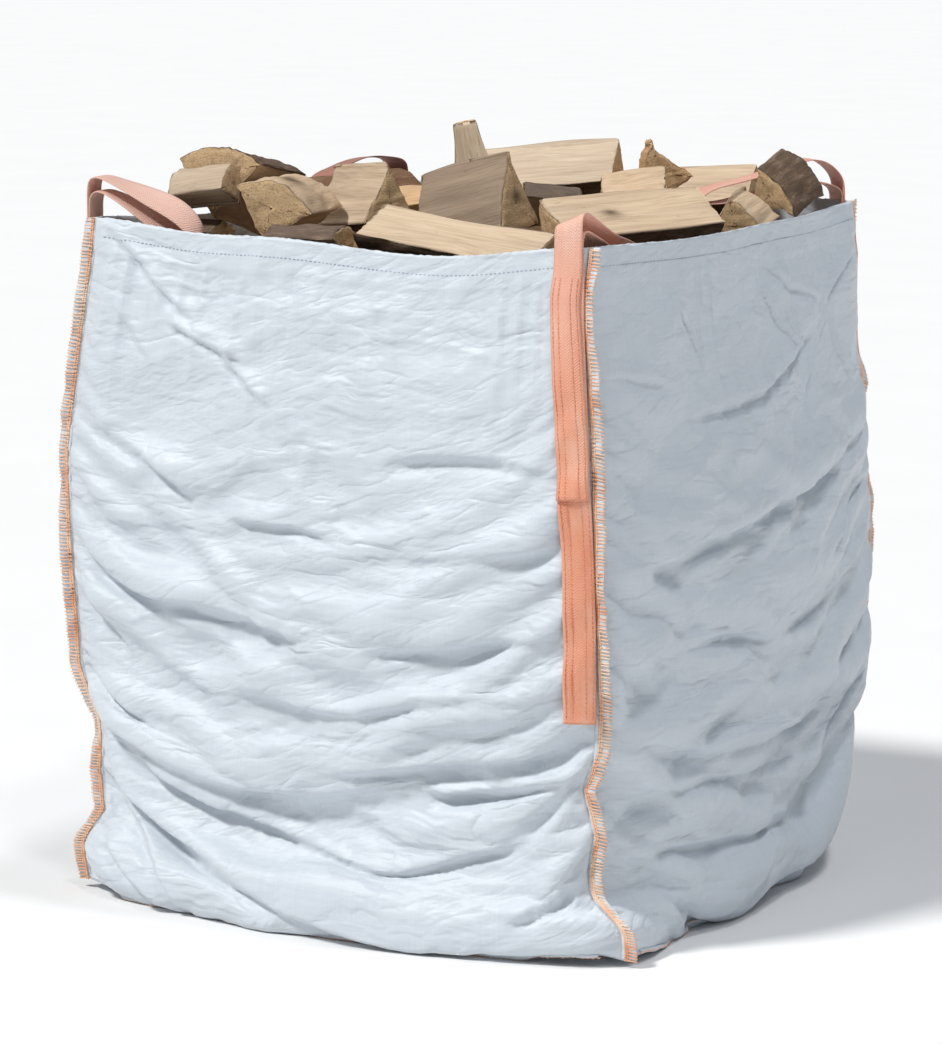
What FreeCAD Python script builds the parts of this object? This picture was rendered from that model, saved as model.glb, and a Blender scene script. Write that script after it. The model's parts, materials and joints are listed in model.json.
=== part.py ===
"""A woven bulk bag filled with split firewood: four side panels and a base, sewn at the corners, with four
webbing lift loops. Millimetres, +Z up, origin on the floor under the middle of the bag. The front panel faces
-Y and the right panel faces +X."""

import FreeCAD, Part
import math
import os
import Sketcher

from FreeCAD import Placement, Rotation, Vector

# ---------------------------------------------------------------- driving dimensions

SIZES = {
    "wall": 3.0,  # side panel, thicker than the real 0.5 mm cloth so that it holds together as a solid
    "base_wall": 3.0,
    "base_gap": 0.5,  # base panel to the foot of a side panel
    "seam_width": 22.0,  # overlocked seam allowance that stands out at a corner
    "seam_thickness": 4.0,
    "seam_gap": 1.4,
    "base_seam_height": 14.0,
    "base_seam_thickness": 3.0,
    "base_seam_gap": 0.6,
    "base_seam_foot": 1.0,  # its lower edge, and how far it stays from each corner
    "base_seam_end": 30.0,
    "stitch_drop": 32.0,  # hem stitching below the rim
    "stitch_height": 2.0,
    "stitch_thickness": 1.0,
    "stitch_gap": 0.2,
    "stitch_half_run": 385.0,
    "webbing_width": 46.0,
    "webbing_thickness": 2.4,
    "webbing_inset": 3.0,  # webbing edge to the corner
    "webbing_gap": 1.0,  # clearance under each layer of webbing
    "long_leg_end": 370.0,  # height of the foot of the longer sewn leg
    "short_leg_end": 710.0,
    "hinge_out": 13.0,  # fold line of a loop: outside the panel and above the rim
    "hinge_up": 10.0,
    "leg_half_pitch": 1.6,  # half the distance between a loop's two legs at the fold line
    "log_radius": 150.0,  # the buried fill: a split log's radius, angle and length
    "log_angle": 56.0,
    "log_length": 262.0,
    "log_gap": 13.0,  # between the ends of two logs
    "log_pitch": 98.0,  # between the middles of two neighbours
    "layer_pitch": 158.0,
    "fill_floor": 8.0,
}

# Heights of the bag's cross-sections, each a square of that half width whose sides bow out by that bulge.
LEVELS = {
    "floor": (0.0, 438.0, 46.0),
    "low": (60.0, 450.0, 58.0),
    "hip": (200.0, 456.0, 60.0),
    "belly": (370.0, 472.0, 58.0),
    "waist": (550.0, 480.0, 54.0),
    "chest": (710.0, 481.0, 42.0),
    "collar": (900.0, 466.0, 24.0),
    "rim": (1080.0, 450.0, 8.0),
}

BIG = 700.0  # reaches past the bag on every side
LAYERS = 6
ROWS = 3  # logs end to end in a layer
LOGS_IN_ROW = 8

# The logs on top, each split from a round trunk. Where its middle is; which way it points, as a heading from
# +X and a climb; how far it is rolled from bark upwards; the trunk's radius, the angle of the split and its
# length.
TOP_LOGS = {
    "01": ((-367, -147, 1112), (105, -12), 0, 125, 74, 230),
    "02": ((-325, -315, 1130), (10, 8), 20, 70, 84, 100),
    "03": ((-203, -268, 1100), (98, 0), 15, 100, 92, 150),
    "04": ((-360, -308, 1040), (4, 0), 0, 84, 70, 120),
    "05": ((-288, 86, 1076), (60, 4), 10, 108, 84, 200),
    "06": ((-142, -138, 1112), (-30, 4), 180, 110, 54, 160),
    "07": ((-92, -388, 1050), (4, 3), 0, 76, 84, 128),
    "08": ((158, -362, 1066), (0, -6), 145, 100, 64, 300),
    "09": ((73, -168, 1118), (-15, 14), 180, 130, 38, 200),
    "10": ((-20, 28, 1108), (209, 79), 20, 84, 62, 240),
    "11": ((-146, 26, 1082), (20, 6), 10, 70, 84, 118),
    "12": ((-6, 228, 1126), (12, 6), 160, 112, 70, 260),
    "13": ((101, 46, 1094), (30, -5), 0, 72, 92, 94),
    "14": ((212, 134, 1108), (25, 8), 165, 76, 84, 106),
    "15": ((174, 290, 1142), (120, -4), 165, 94, 66, 90),
    "16": ((294, -56, 1084), (56, 3), 150, 112, 62, 280),
    "17": ((388, 170, 1084), (98, 6), 170, 80, 76, 96),
    "18": ((214, 400, 1100), (6, 3), 165, 88, 62, 170),
    "19": ((398, 292, 1112), (84, 12), 50, 88, 76, 100),
    "20": ((240, -262, 1050), (8, -4), 0, 72, 80, 120),
    "21": ((-180, 350, 1006), (-8, 0), 0, 96, 76, 236),
    "22": ((20, 372, 1008), (4, 2), 180, 92, 60, 140),
    "23": ((-332, 236, 1010), (80, 0), 180, 92, 64, 130),
    "24": ((352, -318, 990), (90, 0), 0, 60, 70, 130),
    "25": ((-150, -8, 995), (100, 0), 180, 76, 60, 120),
}

# Where each corner seam stands: which end of its panel, and the turn about Z that carries the front panel
# to that panel.
SEAM_CORNERS = {
    "front_right": (1, 0.0),
    "front_left": (-1, 0.0),
    "back_left": (1, 180.0),
    "back_right": (-1, 180.0),
}

# Where each lift loop is sewn: which end of the panel (+1 is the right end, seen from outside),
# and the turn about Z that carries the front panel to the loop's own panel.
CORNERS = {
    "front_right": (1, 0.0),
    "front_left": (1, -90.0),
    "back_left": (1, 180.0),
    "back_right": (-1, 180.0),
}

doc = FreeCAD.newDocument("bulk_bag")
sheet = doc.addObject("Spreadsheet::Sheet", "Sizes")


def fill_sheet():
    cells = dict(SIZES)
    for level, (height, half, bulge) in LEVELS.items():
        cells["height_" + level] = height
        cells["half_" + level] = half
        cells["bulge_" + level] = bulge
    for row, (alias, value) in enumerate(cells.items(), start=1):
        sheet.set(f"A{row}", alias)
        sheet.set(f"B{row}", repr(value))
        sheet.setAlias(f"B{row}", alias)
    doc.recompute()


def size(alias):
    """A driving dimension, read back from the sheet."""
    return float(sheet.get(alias))


# ---------------------------------------------------------------- small helpers

parts = []


def keep(piece, label):
    """Marks a document object as a sub-part, under the name of its file."""
    piece.Label = label
    parts.append(piece)
    return piece


def new_body(name):
    return doc.addObject("PartDesign::Body", name)


def new_sketch(body, role, height=None):
    """A sketch on one of the body's origin planes; height is an expression for its distance from it."""
    sketch = body.newObject("Sketcher::SketchObject", "Sketch")
    plane = next(f for f in body.Origin.OriginFeatures if f.Role == role)
    sketch.AttachmentSupport = (plane, "")
    sketch.MapMode = "FlatFace"
    if height is not None:
        sketch.setExpression("AttachmentOffset.Base.z", height)
    return sketch


def drive(sketch, constraint, expression):
    index = sketch.addConstraint(constraint)
    sketch.setExpression(f"Constraints[{index}]", expression)


def loft(body, sketches):
    feature = body.newObject("PartDesign::AdditiveLoft", "Loft")
    feature.Profile = sketches[0]
    feature.Sections = sketches[1:]
    feature.Ruled = True
    body.Tip = feature
    return body


def rectangle(sketch, left, right, low, high, guess):
    """A rectangle between four expressions; guess holds their rough values, which set the signs."""
    x0, x1, y0, y1 = guess
    corners = [Vector(x0, y0), Vector(x1, y0), Vector(x1, y1), Vector(x0, y1)]
    for i in range(4):
        sketch.addGeometry(Part.LineSegment(corners[i], corners[(i + 1) % 4]))
    for i in range(4):
        sketch.addConstraint(Sketcher.Constraint("Coincident", i, 2, (i + 1) % 4, 1))
    for i, kind in enumerate(("Horizontal", "Vertical", "Horizontal", "Vertical")):
        sketch.addConstraint(Sketcher.Constraint(kind, i))
    for kind, point, value, expression in (
        ("DistanceX", (0, 1), x0, left),
        ("DistanceX", (1, 1), x1, right),
        ("DistanceY", (0, 1), y0, low),
        ("DistanceY", (2, 1), y1, high),
    ):
        drive(sketch, Sketcher.Constraint(kind, -1, 1, *point, value), expression)


# ---------------------------------------------------------------- the bag


def bowed_square(sketch, level, grow):
    """The bag's section at a level, grown outwards by an expression: four arcs that meet at the corners."""
    _, half, bulge = LEVELS[level]
    ends = [Vector(-half, -half), Vector(half, -half), Vector(half, half), Vector(-half, half)]
    out = half + bulge
    tops = [Vector(0, -out), Vector(out, 0), Vector(0, out), Vector(-out, 0)]
    for i in range(4):
        sketch.addGeometry(Part.Arc(ends[i], tops[i], ends[(i + 1) % 4]))
    for i in range(4):
        sketch.addConstraint(Sketcher.Constraint("Coincident", i, 2, (i + 1) % 4, 1))
    for i, axis in ((0, -2), (1, -1), (2, -2)):
        sketch.addConstraint(Sketcher.Constraint("Symmetric", i, 1, i, 2, axis))
    for i in (1, 2, 3):
        sketch.addConstraint(Sketcher.Constraint("Equal", 0, i))
    width = f"2 * (Sizes.half_{level} + {grow})"
    radius = f"((Sizes.half_{level} + {grow})^2 + Sizes.bulge_{level}^2) / (2 * Sizes.bulge_{level})"
    drive(sketch, Sketcher.Constraint("DistanceX", 0, 1, 0, 2, 2 * half), width)
    drive(sketch, Sketcher.Constraint("DistanceY", 1, 1, 1, 2, 2 * half), width)
    drive(sketch, Sketcher.Constraint("Radius", 0, (half**2 + bulge**2) / (2 * bulge)), radius)


def bag_form(name, grow):
    """The whole volume of the bag, grown outwards by an expression in the sheet's cells."""
    body = new_body(name)
    sketches = []
    for level in LEVELS:
        sketch = new_sketch(body, "XY_Plane", f"Sizes.height_{level}")
        bowed_square(sketch, level, grow)
        sketches.append(sketch)
    return loft(body, sketches)


def boolean(kind, base, tool, name):
    piece = doc.addObject("Part::" + kind, name)
    piece.Base = base
    piece.Tool = tool
    return piece


def turned(body, angle):
    body.Placement = Placement(Vector(), Rotation(Vector(0, 0, 1), angle))
    return body


def side_panels(shell):
    """The four walls, parted along the corner diagonals."""
    for label, angle in (("front", 0), ("right", 90), ("back", 180), ("left", -90)):
        wedge = new_body("PanelWedge")
        sketch = new_sketch(wedge, "XY_Plane")
        corners = [Vector(0, 0), Vector(-BIG, -BIG), Vector(BIG, -BIG)]
        for i in range(3):
            sketch.addGeometry(Part.LineSegment(corners[i], corners[(i + 1) % 3]))
            sketch.addConstraint(Sketcher.Constraint("Block", i))
        pad = wedge.newObject("PartDesign::Pad", "Pad")
        pad.Profile = sketch
        pad.setExpression("Length", "Sizes.height_rim")
        keep(boolean("Common", shell, turned(wedge, angle), "Panel"), "side_panel_" + label)


def base_panel():
    body = new_body("Base")
    sketch = new_sketch(body, "XY_Plane")
    bowed_square(sketch, "floor", "(-Sizes.wall - Sizes.base_gap)")
    pad = body.newObject("PartDesign::Pad", "Pad")
    pad.Profile = sketch
    pad.setExpression("Length", "Sizes.base_wall")
    keep(body, "base_panel")


def skin(near, far, name):
    """A skin round the bag between two distances from the cloth, both expressions."""
    return boolean("Cut", bag_form(name + "Outside", far), bag_form(name + "Inside", near), name)


def bands(around, foot, height, half_run, depth, label):
    """Four bands cut from a skin at one height, one along each panel."""
    runs = []
    for angle in (0, 90, 180, 270):
        window = new_body("BandWindow")
        sketch = new_sketch(window, "XY_Plane", foot)
        guess = (-400, 400, -520, -400)
        rectangle(sketch, f"-({half_run})", half_run, f"-{depth} - 70", f"-{depth} + 60", guess)
        pad = window.newObject("PartDesign::Pad", "Pad")
        pad.Profile = sketch
        pad.setExpression("Length", height)
        runs.append(boolean("Common", around, turned(window, angle), "Band"))
    group = doc.addObject("Part::Compound", "Bands")
    group.Links = runs
    keep(group, label)


def base_seam():
    """Overlocked seams around the foot of the bag, where the base is sewn to the panels."""
    around = skin("Sizes.base_seam_gap", "(Sizes.base_seam_gap + Sizes.base_seam_thickness)", "BaseSeamSkin")
    foot, tall = "Sizes.base_seam_foot", "Sizes.base_seam_height"
    run = "Sizes.half_floor - Sizes.base_seam_end"
    bands(around, foot, tall, run, "Sizes.half_floor", "base_seam_strips")


def corner_seam(label, side, angle):
    """The overlocked seam allowance of two panels, standing out from a corner in the plane of the panel."""
    body = new_body("CornerSeam")
    sketches = []
    for level, (_, half, _) in LEVELS.items():
        sketch = new_sketch(body, "XY_Plane", f"Sizes.height_{level}")
        near = f"(Sizes.half_{level} + Sizes.seam_gap)"
        far = f"(Sizes.half_{level} + Sizes.seam_width)"
        low = f"-Sizes.half_{level} - Sizes.seam_thickness / 2"
        high = f"-Sizes.half_{level} + Sizes.seam_thickness / 2"
        ends = (near, far) if side > 0 else ("-" + far, "-" + near)
        guess = (half, half + 20) if side > 0 else (-half - 20, -half)
        rectangle(sketch, *ends, low, high, (*guess, -half - 2, -half + 2))
        sketches.append(sketch)
    keep(turned(loft(body, sketches), angle), "corner_seam_" + label)


def hem_stitching():
    """The chain stitch that holds the folded hem, one run along each panel."""
    around = skin("Sizes.stitch_gap", "(Sizes.stitch_gap + Sizes.stitch_thickness)", "StitchSkin")
    foot = "Sizes.height_rim - Sizes.stitch_drop"
    bands(around, foot, "Sizes.stitch_height", "Sizes.stitch_half_run", "Sizes.half_rim", "hem_stitching")


# ---------------------------------------------------------------- webbing


def webbing_skin(layer):
    """A skin one webbing thick round the bag; layer 1 lies on the cloth and layer 2 on layer 1."""
    near = f"({layer} * Sizes.webbing_gap + {layer - 1} * Sizes.webbing_thickness)"
    far = f"({layer} * (Sizes.webbing_gap + Sizes.webbing_thickness))"
    return skin(near, far, "WebbingSkin")


def webbing_leg(label, strap_skin, side, angle, foot_level):
    """A strip of the skin beside a corner, from the level of its foot up to the rim."""
    window = new_body("LegWindow")
    names = list(LEVELS)
    sketches = []
    for level in names[names.index(foot_level) :]:
        half = LEVELS[level][1]
        sketch = new_sketch(window, "XY_Plane", f"Sizes.height_{level}")
        outer = f"(Sizes.half_{level} - Sizes.webbing_inset)"
        inner = f"(Sizes.half_{level} - Sizes.webbing_inset - Sizes.webbing_width)"
        ends = (inner, outer) if side > 0 else ("-" + outer, "-" + inner)
        guess = (half - 50, half) if side > 0 else (-half, -half + 50)
        deep = f"-Sizes.half_{level} - 60"
        shallow = f"-Sizes.half_{level} + 30"
        rectangle(sketch, *ends, deep, shallow, (*guess, -half - 60, -half + 30))
        sketches.append(sketch)
    keep(boolean("Common", strap_skin, turned(loft(window, sketches), angle), "Leg"), label)


# The route of each loop's webbing in its own upright plane: distance inwards from the fold line, height above
# it. It climbs from the fold line, falls on to the load, turns back and returns under itself.
# heading: the way the loop lies, as an angle from +X.
LOOPS = {
    "front_right": (
        90.0,
        [(0, 36), (70, 30), (150, -10), (262, -42), (268, -72), (170, -56), (80, -6), (0, 18)],
    ),
    "front_left": (
        6.0,
        [(0, 66), (40, 70), (110, 44), (190, 6), (214, -62), (176, -50), (100, 6), (0, 40)],
    ),
    "back_left": (
        -90.0,
        [(0, 34), (60, 42), (150, 44), (268, 22), (274, -6), (160, 10), (70, 14), (0, 16)],
    ),
    "back_right": (
        -128.0,
        [(0, 40), (48, 72), (130, 46), (262, 18), (268, -8), (140, 12), (60, 32), (0, 20)],
    ),
}
ROUNDING = 0.45  # how much of a run each rounded corner of a route takes
PROFILE_GUESS = 20  # a webbing section's rough half width, which only sets the signs


def rounded(points, fullness):
    """Straight runs joined by tangent arcs; each arc takes that share of its shorter run."""
    edges = []
    last = points[0]
    for before, corner, after in zip(points, points[1:], points[2:]):
        back = (before - corner).normalize()
        ahead = (after - corner).normalize()
        reach = fullness * min(before.distanceToPoint(corner), after.distanceToPoint(corner))
        bend = back.getAngle(ahead)
        start = corner + back * reach
        end = corner + ahead * reach
        middle = (back + ahead).normalize()
        radius = reach * math.tan(bend / 2)
        top = corner + middle * (radius / math.sin(bend / 2) - radius)
        edges.append(Part.LineSegment(last, start))
        edges.append(Part.Arc(start, top, end))
        last = end
    edges.append(Part.LineSegment(last, points[-1]))
    return edges


def fold_point(side, angle):
    """The middle of a loop's fold line, outside the rim beside its corner."""
    across = side * (size("half_rim") - size("webbing_inset") - size("webbing_width") / 2)
    out = size("half_rim") + size("hinge_out")
    turn = Placement(Vector(), Rotation(Vector(0, 0, 1), angle))
    return turn.multVec(Vector(across, -out, size("height_rim") + size("hinge_up")))


def lift_loop(label, side, angle):
    """The free webbing of a loop: one strap that leaves the fold line and comes back to it."""
    heading, route = LOOPS[label]
    body = new_body("Loop")
    pitch = size("leg_half_pitch")
    points = [Vector(-pitch, 0, 0), Vector(-pitch, route[0][1], 0)]
    points += [Vector(along, up, 0) for along, up in route[1:-1]]
    points += [Vector(pitch, route[-1][1], 0), Vector(pitch, 0, 0)]
    path = new_sketch(body, "XZ_Plane")
    for edge in rounded(points, ROUNDING):
        index = path.addGeometry(edge)
        path.addConstraint(Sketcher.Constraint("Block", index))
    profile = new_sketch(body, "XY_Plane")
    thick = "Sizes.webbing_thickness / 2"
    left = f"-Sizes.leg_half_pitch - {thick}"
    right = f"-Sizes.leg_half_pitch + {thick}"
    wide = "Sizes.webbing_width / 2"
    guess = (-pitch - 1, -pitch + 1, -PROFILE_GUESS, PROFILE_GUESS)
    rectangle(profile, left, right, "-" + wide, wide, guess)
    pipe = body.newObject("PartDesign::AdditivePipe", "Pipe")
    pipe.Profile = profile
    pipe.Spine = path
    body.Tip = pipe
    place = fold_point(side, angle)
    body.Placement = Placement(place, Rotation(Vector(0, 0, 1), heading))
    keep(body, "lift_loop_" + label)


def webbing():
    under, over = webbing_skin(1), webbing_skin(2)
    for label, (side, angle) in CORNERS.items():
        webbing_leg("webbing_long_leg_" + label, under, side, angle, "belly")
        webbing_leg("webbing_short_leg_" + label, over, side, angle, "chest")
        lift_loop(label, side, angle)


# ---------------------------------------------------------------- firewood


def sector(sketch, radius, angle):
    """A split log's end: two flats from the heart of the trunk out to the bark, centred between the two."""
    lean = math.radians(angle / 2)
    heart = Vector(0, -radius / 2)
    left = heart + Vector(-radius * math.sin(lean), radius * math.cos(lean))
    right = heart + Vector(radius * math.sin(lean), radius * math.cos(lean))
    sketch.addGeometry(Part.LineSegment(heart, left))
    sketch.addGeometry(Part.Arc(left, heart + Vector(0, radius), right))
    sketch.addGeometry(Part.LineSegment(right, heart))
    for i in range(3):
        sketch.addConstraint(Sketcher.Constraint("Block", i))


def top_log(label, middle, aim, roll, radius, angle, length):
    body = new_body("Log")
    sketch = new_sketch(body, "XY_Plane")
    sector(sketch, radius, angle)
    pad = body.newObject("PartDesign::Pad", "Pad")
    pad.Profile = sketch
    pad.Length = length
    pad.Midplane = True
    heading, climb = aim
    turn = Rotation(Vector(0, 0, 1), heading)
    turn = turn.multiply(Rotation(Vector(0, 1, 0), 90 - climb))
    turn = turn.multiply(Rotation(Vector(0, 0, 1), 90 + roll))
    body.Placement = Placement(Vector(*middle), turn)
    keep(body, "firewood_log_" + label)


def fill_log_end():
    """The end of a buried log, flat sided: heart, bark corner, middle of the bark, bark corner."""
    sketch = doc.addObject("Sketcher::SketchObject", "FillLogEnd")
    radius = size("log_radius")
    lean = math.radians(size("log_angle") / 2)
    out = Vector(radius * math.sin(lean), radius * math.cos(lean) - radius / 2)
    corners = [Vector(0, -radius / 2), out, Vector(0, radius / 2), Vector(-out.x, out.y)]
    for i in range(4):
        sketch.addGeometry(Part.LineSegment(corners[i], corners[(i + 1) % 4]))
        sketch.addConstraint(Sketcher.Constraint("Block", i))
    return sketch


def fill_layer(number, end):
    """One layer of buried logs: rows end to end, neighbours turned heart up and heart down by turns."""
    logs = []
    turn = Rotation(Vector(0, 0, 1), 90 * (number % 2))
    height = size("fill_floor") + size("log_radius") / 2 + number * size("layer_pitch")
    step = size("log_length") + size("log_gap")
    for row in range(ROWS):
        for place in range(LOGS_IN_ROW):
            log = doc.addObject("Part::Extrusion", "FillLog")
            log.Base = end
            log.Dir = Vector(0, 0, 1)
            log.DirMode = "Custom"
            log.Solid = True
            log.setExpression("LengthFwd", "Sizes.log_length")
            along = (row - ROWS / 2) * step + size("log_gap") / 2
            across = (place - (LOGS_IN_ROW - 1) / 2) * size("log_pitch")
            flip = 180 * (place % 2)
            lie = Rotation(Vector(0, 1, 0), 90).multiply(Rotation(Vector(0, 0, 1), 90 + flip))
            log.Placement = Placement(turn.multVec(Vector(along, across, height)), turn.multiply(lie))
            logs.append(log)
    group = doc.addObject("Part::Compound", "FillLayer")
    group.Links = logs
    keep(group, f"firewood_layer_{number + 1}")


def firewood():
    end = fill_log_end()
    for number in range(LAYERS):
        fill_layer(number, end)
    for label, (middle, aim, roll, radius, angle, length) in TOP_LOGS.items():
        top_log(label, middle, aim, roll, radius, angle, length)


# ---------------------------------------------------------------- build and write


def failed_objects():
    return [o.Label for o in doc.Objects if {"Invalid", "Error"} & set(o.State)]


def write_parts():
    os.makedirs("parts", exist_ok=True)
    for piece in parts:
        shape = piece.Shape
        if shape.isNull() or not shape.isValid():
            raise RuntimeError(f"{piece.Label} has no valid shape")
        shape.exportStep(f"parts/{piece.Label}.step")


fill_sheet()
outside = bag_form("BagOutside", "0")
inside = bag_form("BagInside", "-Sizes.wall")
bag_shell = boolean("Cut", outside, inside, "BagShell")
side_panels(bag_shell)
base_panel()
base_seam()
for corner, (end, turn_by) in SEAM_CORNERS.items():
    corner_seam(corner, end, turn_by)
hem_stitching()
webbing()
firewood()
doc.recompute()
if failed_objects():
    raise RuntimeError(f"these did not build: {failed_objects()}")
write_parts()
print("wrote", len(parts), "parts")
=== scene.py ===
"""The looks of a woven bulk bag full of split firewood: cloth, seams, webbing, logs, light and camera."""

import json
import math

import bpy
import numpy as np
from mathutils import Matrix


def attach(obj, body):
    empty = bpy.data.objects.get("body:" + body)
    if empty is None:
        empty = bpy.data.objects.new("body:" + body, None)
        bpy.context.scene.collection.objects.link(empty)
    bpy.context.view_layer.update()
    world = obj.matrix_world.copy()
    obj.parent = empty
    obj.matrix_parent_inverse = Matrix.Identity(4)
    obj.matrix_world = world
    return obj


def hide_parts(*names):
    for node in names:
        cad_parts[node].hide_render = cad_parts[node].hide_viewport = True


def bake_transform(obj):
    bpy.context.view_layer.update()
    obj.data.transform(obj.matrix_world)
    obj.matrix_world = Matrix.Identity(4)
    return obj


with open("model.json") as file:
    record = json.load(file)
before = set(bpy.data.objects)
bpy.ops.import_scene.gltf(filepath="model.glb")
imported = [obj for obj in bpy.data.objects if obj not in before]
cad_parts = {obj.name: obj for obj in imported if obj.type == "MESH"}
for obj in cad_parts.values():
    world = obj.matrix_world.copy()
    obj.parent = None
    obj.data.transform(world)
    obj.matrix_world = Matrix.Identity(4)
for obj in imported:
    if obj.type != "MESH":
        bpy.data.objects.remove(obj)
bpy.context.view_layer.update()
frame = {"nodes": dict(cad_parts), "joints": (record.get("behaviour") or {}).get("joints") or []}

# ---------------------------------------------------------------- sizes, in metres

CELLS = 84  # cloth cells across a panel in the fine grid; the coarse grid has half as many
ROWS = 116  # cloth cells from the rim to the foot
CLOTH = 0.0009
FLOOR_GAP = 0.002  # the least height of the cloth over the floor
HEM = 0.055  # how deep the folded hem is
STITCH_DROP = 0.030  # how far below the rim the hem's stitches run
FIN_WIDTH = 0.021  # of a corner seam
FIN_THICKNESS = 0.0022
STRAP_WIDTH = 0.046
STRAP_THICKNESS = 0.0022
STRAP_LANES = 11  # lines of points across a strap

PANELS = ("front", "right", "back", "left")
CORNERS = ("front_left", "front_right", "back_right", "back_left")  # the corner at each panel's left edge


# ---------------------------------------------------------------- mesh helpers


def mesh_object(name, points, quads, material, smooth=True):
    """A mesh object from an array of points and an array of four-sided faces."""
    points = np.asarray(points, dtype=np.float32).reshape(-1, 3)
    quads = np.asarray(quads, dtype=np.int32).reshape(-1, 4)
    mesh = bpy.data.meshes.new(name)
    mesh.vertices.add(len(points))
    mesh.vertices.foreach_set("co", points.ravel())
    mesh.loops.add(quads.size)
    mesh.loops.foreach_set("vertex_index", quads.ravel())
    mesh.polygons.add(len(quads))
    mesh.polygons.foreach_set("loop_start", np.arange(0, quads.size, 4, dtype=np.int32))
    mesh.polygons.foreach_set("use_smooth", np.full(len(quads), smooth))
    mesh.update(calc_edges=True)
    mesh.validate()
    mesh.materials.append(material)
    return in_scene(name, mesh)


def in_scene(name, data):
    """An object with that data, in the scene."""
    piece = bpy.data.objects.new(name, data)
    bpy.context.scene.collection.objects.link(piece)
    return piece


def mesh_points(mesh):
    """A mesh's points as an array."""
    points = np.empty(len(mesh.vertices) * 3)
    mesh.vertices.foreach_get("co", points)
    return points.reshape(-1, 3)


def put_attribute(piece, name, values):
    """Values or vectors at a mesh's points, for its material to read; both sides of a shell share theirs."""
    values = np.asarray(values, dtype=np.float32)
    values = np.concatenate([values] * (len(piece.data.vertices) // len(values)))
    kind = "FLOAT" if values.ndim == 1 else "FLOAT_VECTOR"
    layer = piece.data.attributes.new(name, kind, "POINT")
    layer.data.foreach_set("value" if kind == "FLOAT" else "vector", values.ravel())


def on_bag(name, shape, look, slot, *nodes, **values):
    """A piece that rides on the bag and stands for those CAD nodes; values are what its material reads."""
    piece = mesh_object(name, *shape, look)
    for key, value in values.items():
        put_attribute(piece, key, value)
    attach(piece, "bag")
    if nodes:
        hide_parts(*nodes)
    return piece


def grid_quads(rows, columns, first=0, wrap=False):
    """Faces of a grid of points stored row by row; wrap joins the last column to the first."""
    last = columns if wrap else columns - 1
    r, c = np.meshgrid(np.arange(rows - 1), np.arange(last), indexing="ij")
    here, ahead = r * columns + c, r * columns + (c + 1) % columns
    return first + np.stack([here, here + columns, ahead + columns, ahead], -1).reshape(-1, 4)


def shell(outer, inner):
    """Points and faces of a closed sheet between two grids of the same shape."""
    rows, columns = outer.shape[:2]
    count = rows * columns
    faces = [grid_quads(rows, columns), grid_quads(rows, columns, count)[:, ::-1]]
    index = np.arange(count).reshape(rows, columns)
    rim = np.concatenate([index[0, :], index[1:, -1], index[-1, -2::-1], index[-2:0:-1, 0]])
    ahead = np.roll(rim, -1)
    faces.append(np.stack([rim, ahead, ahead + count, rim + count], -1))
    return np.concatenate([outer.reshape(-1, 3), inner.reshape(-1, 3)]), np.concatenate(faces)


def smoothstep(low, high, x):
    t = np.clip((x - low) / (high - low), 0, 1)
    return t * t * (3 - 2 * t)


def hump(x, width):
    """1 at 0, falling off smoothly on both sides over that width."""
    return np.exp(-((x / width) ** 2))


def unit(v):
    return v / np.maximum(np.linalg.norm(v, axis=-1, keepdims=True), 1e-9)


def heading(points, axis=0):
    """The direction in which a line or a grid of points runs, at each point."""
    return unit(np.gradient(points, axis=axis))


def flat_place(across, down):
    """Places on a flat cloth or strap as vectors, for its weave."""
    return np.stack([across.ravel(), down.ravel(), np.zeros(across.size)], -1)


def bell(reach, count):
    """Weights on a bell curve, cut off at that reach, that add up to 1."""
    weights = np.exp(-(np.linspace(-reach, reach, count) ** 2))
    return weights / weights.sum()


def softened(values, weights):
    """A row of values, each mixed with its neighbours by those weights."""
    return np.convolve(np.pad(values, len(weights) // 2, mode="edge"), weights, "valid")


def catmull(points, per_span):
    """A smooth line through points, with that many steps from each to the next."""
    p = np.asarray(points, dtype=float)
    p = np.concatenate([2 * p[:1] - p[1:2], p, 2 * p[-1:] - p[-2:-1]])
    t = np.linspace(0, 1, per_span, endpoint=False)[:, None]
    out = []
    for i in range(1, len(p) - 2):
        a, b, c, d = p[i - 1], p[i], p[i + 1], p[i + 2]
        square, cube = (2 * a - 5 * b + 4 * c - d) * t**2, (3 * b - a - 3 * c + d) * t**3
        out.append(0.5 * (2 * b + (c - a) * t + square + cube))
    return np.concatenate(out + [p[-2:-1]])


def distance_run(line):
    """How far along a line each of its points is."""
    return np.concatenate([[0], np.cumsum(np.linalg.norm(np.diff(line, axis=0), axis=-1))])


def sampled(at, run, rows):
    """Rows of values at other distances along their line."""
    return np.stack([np.interp(at, run, column) for column in rows.T], -1)


def even_line(points, pitch):
    """The same line with its points that far apart."""
    run = distance_run(points[:, :3])
    count = max(2, int(round(run[-1] / pitch)) + 1)
    return sampled(np.linspace(0, run[-1], count), run, points)


def tube(line, radius, sides=6):
    """Points and faces of a tube with flat ends along a line; radius is one value or one for each point."""
    line = np.asarray(line, dtype=float)
    along = heading(line)
    guide = np.array([0.31, 0.22, 0.93])  # no line here runs this way
    across = unit(np.cross(along, guide))
    up = np.cross(across, along)
    angle = np.arange(sides) * 2 * math.pi / sides
    radius = np.broadcast_to(radius, (len(line),))[:, None, None]
    cos, sin = np.cos(angle)[None, :, None], np.sin(angle)[None, :, None]
    points = (line[:, None] + radius * (across[:, None] * cos + up[:, None] * sin)).reshape(-1, 3)
    faces = grid_quads(len(line), sides, wrap=True)
    ends = []
    for first in (0, (len(line) - 1) * sides):
        for k in range(1, sides - 2, 2):
            ends.append([first, first + k, first + k + 1, first + k + 2])
    ends = np.array(ends)
    ends[: len(ends) // 2] = ends[: len(ends) // 2, ::-1]
    return points, np.concatenate([faces, ends])


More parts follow.
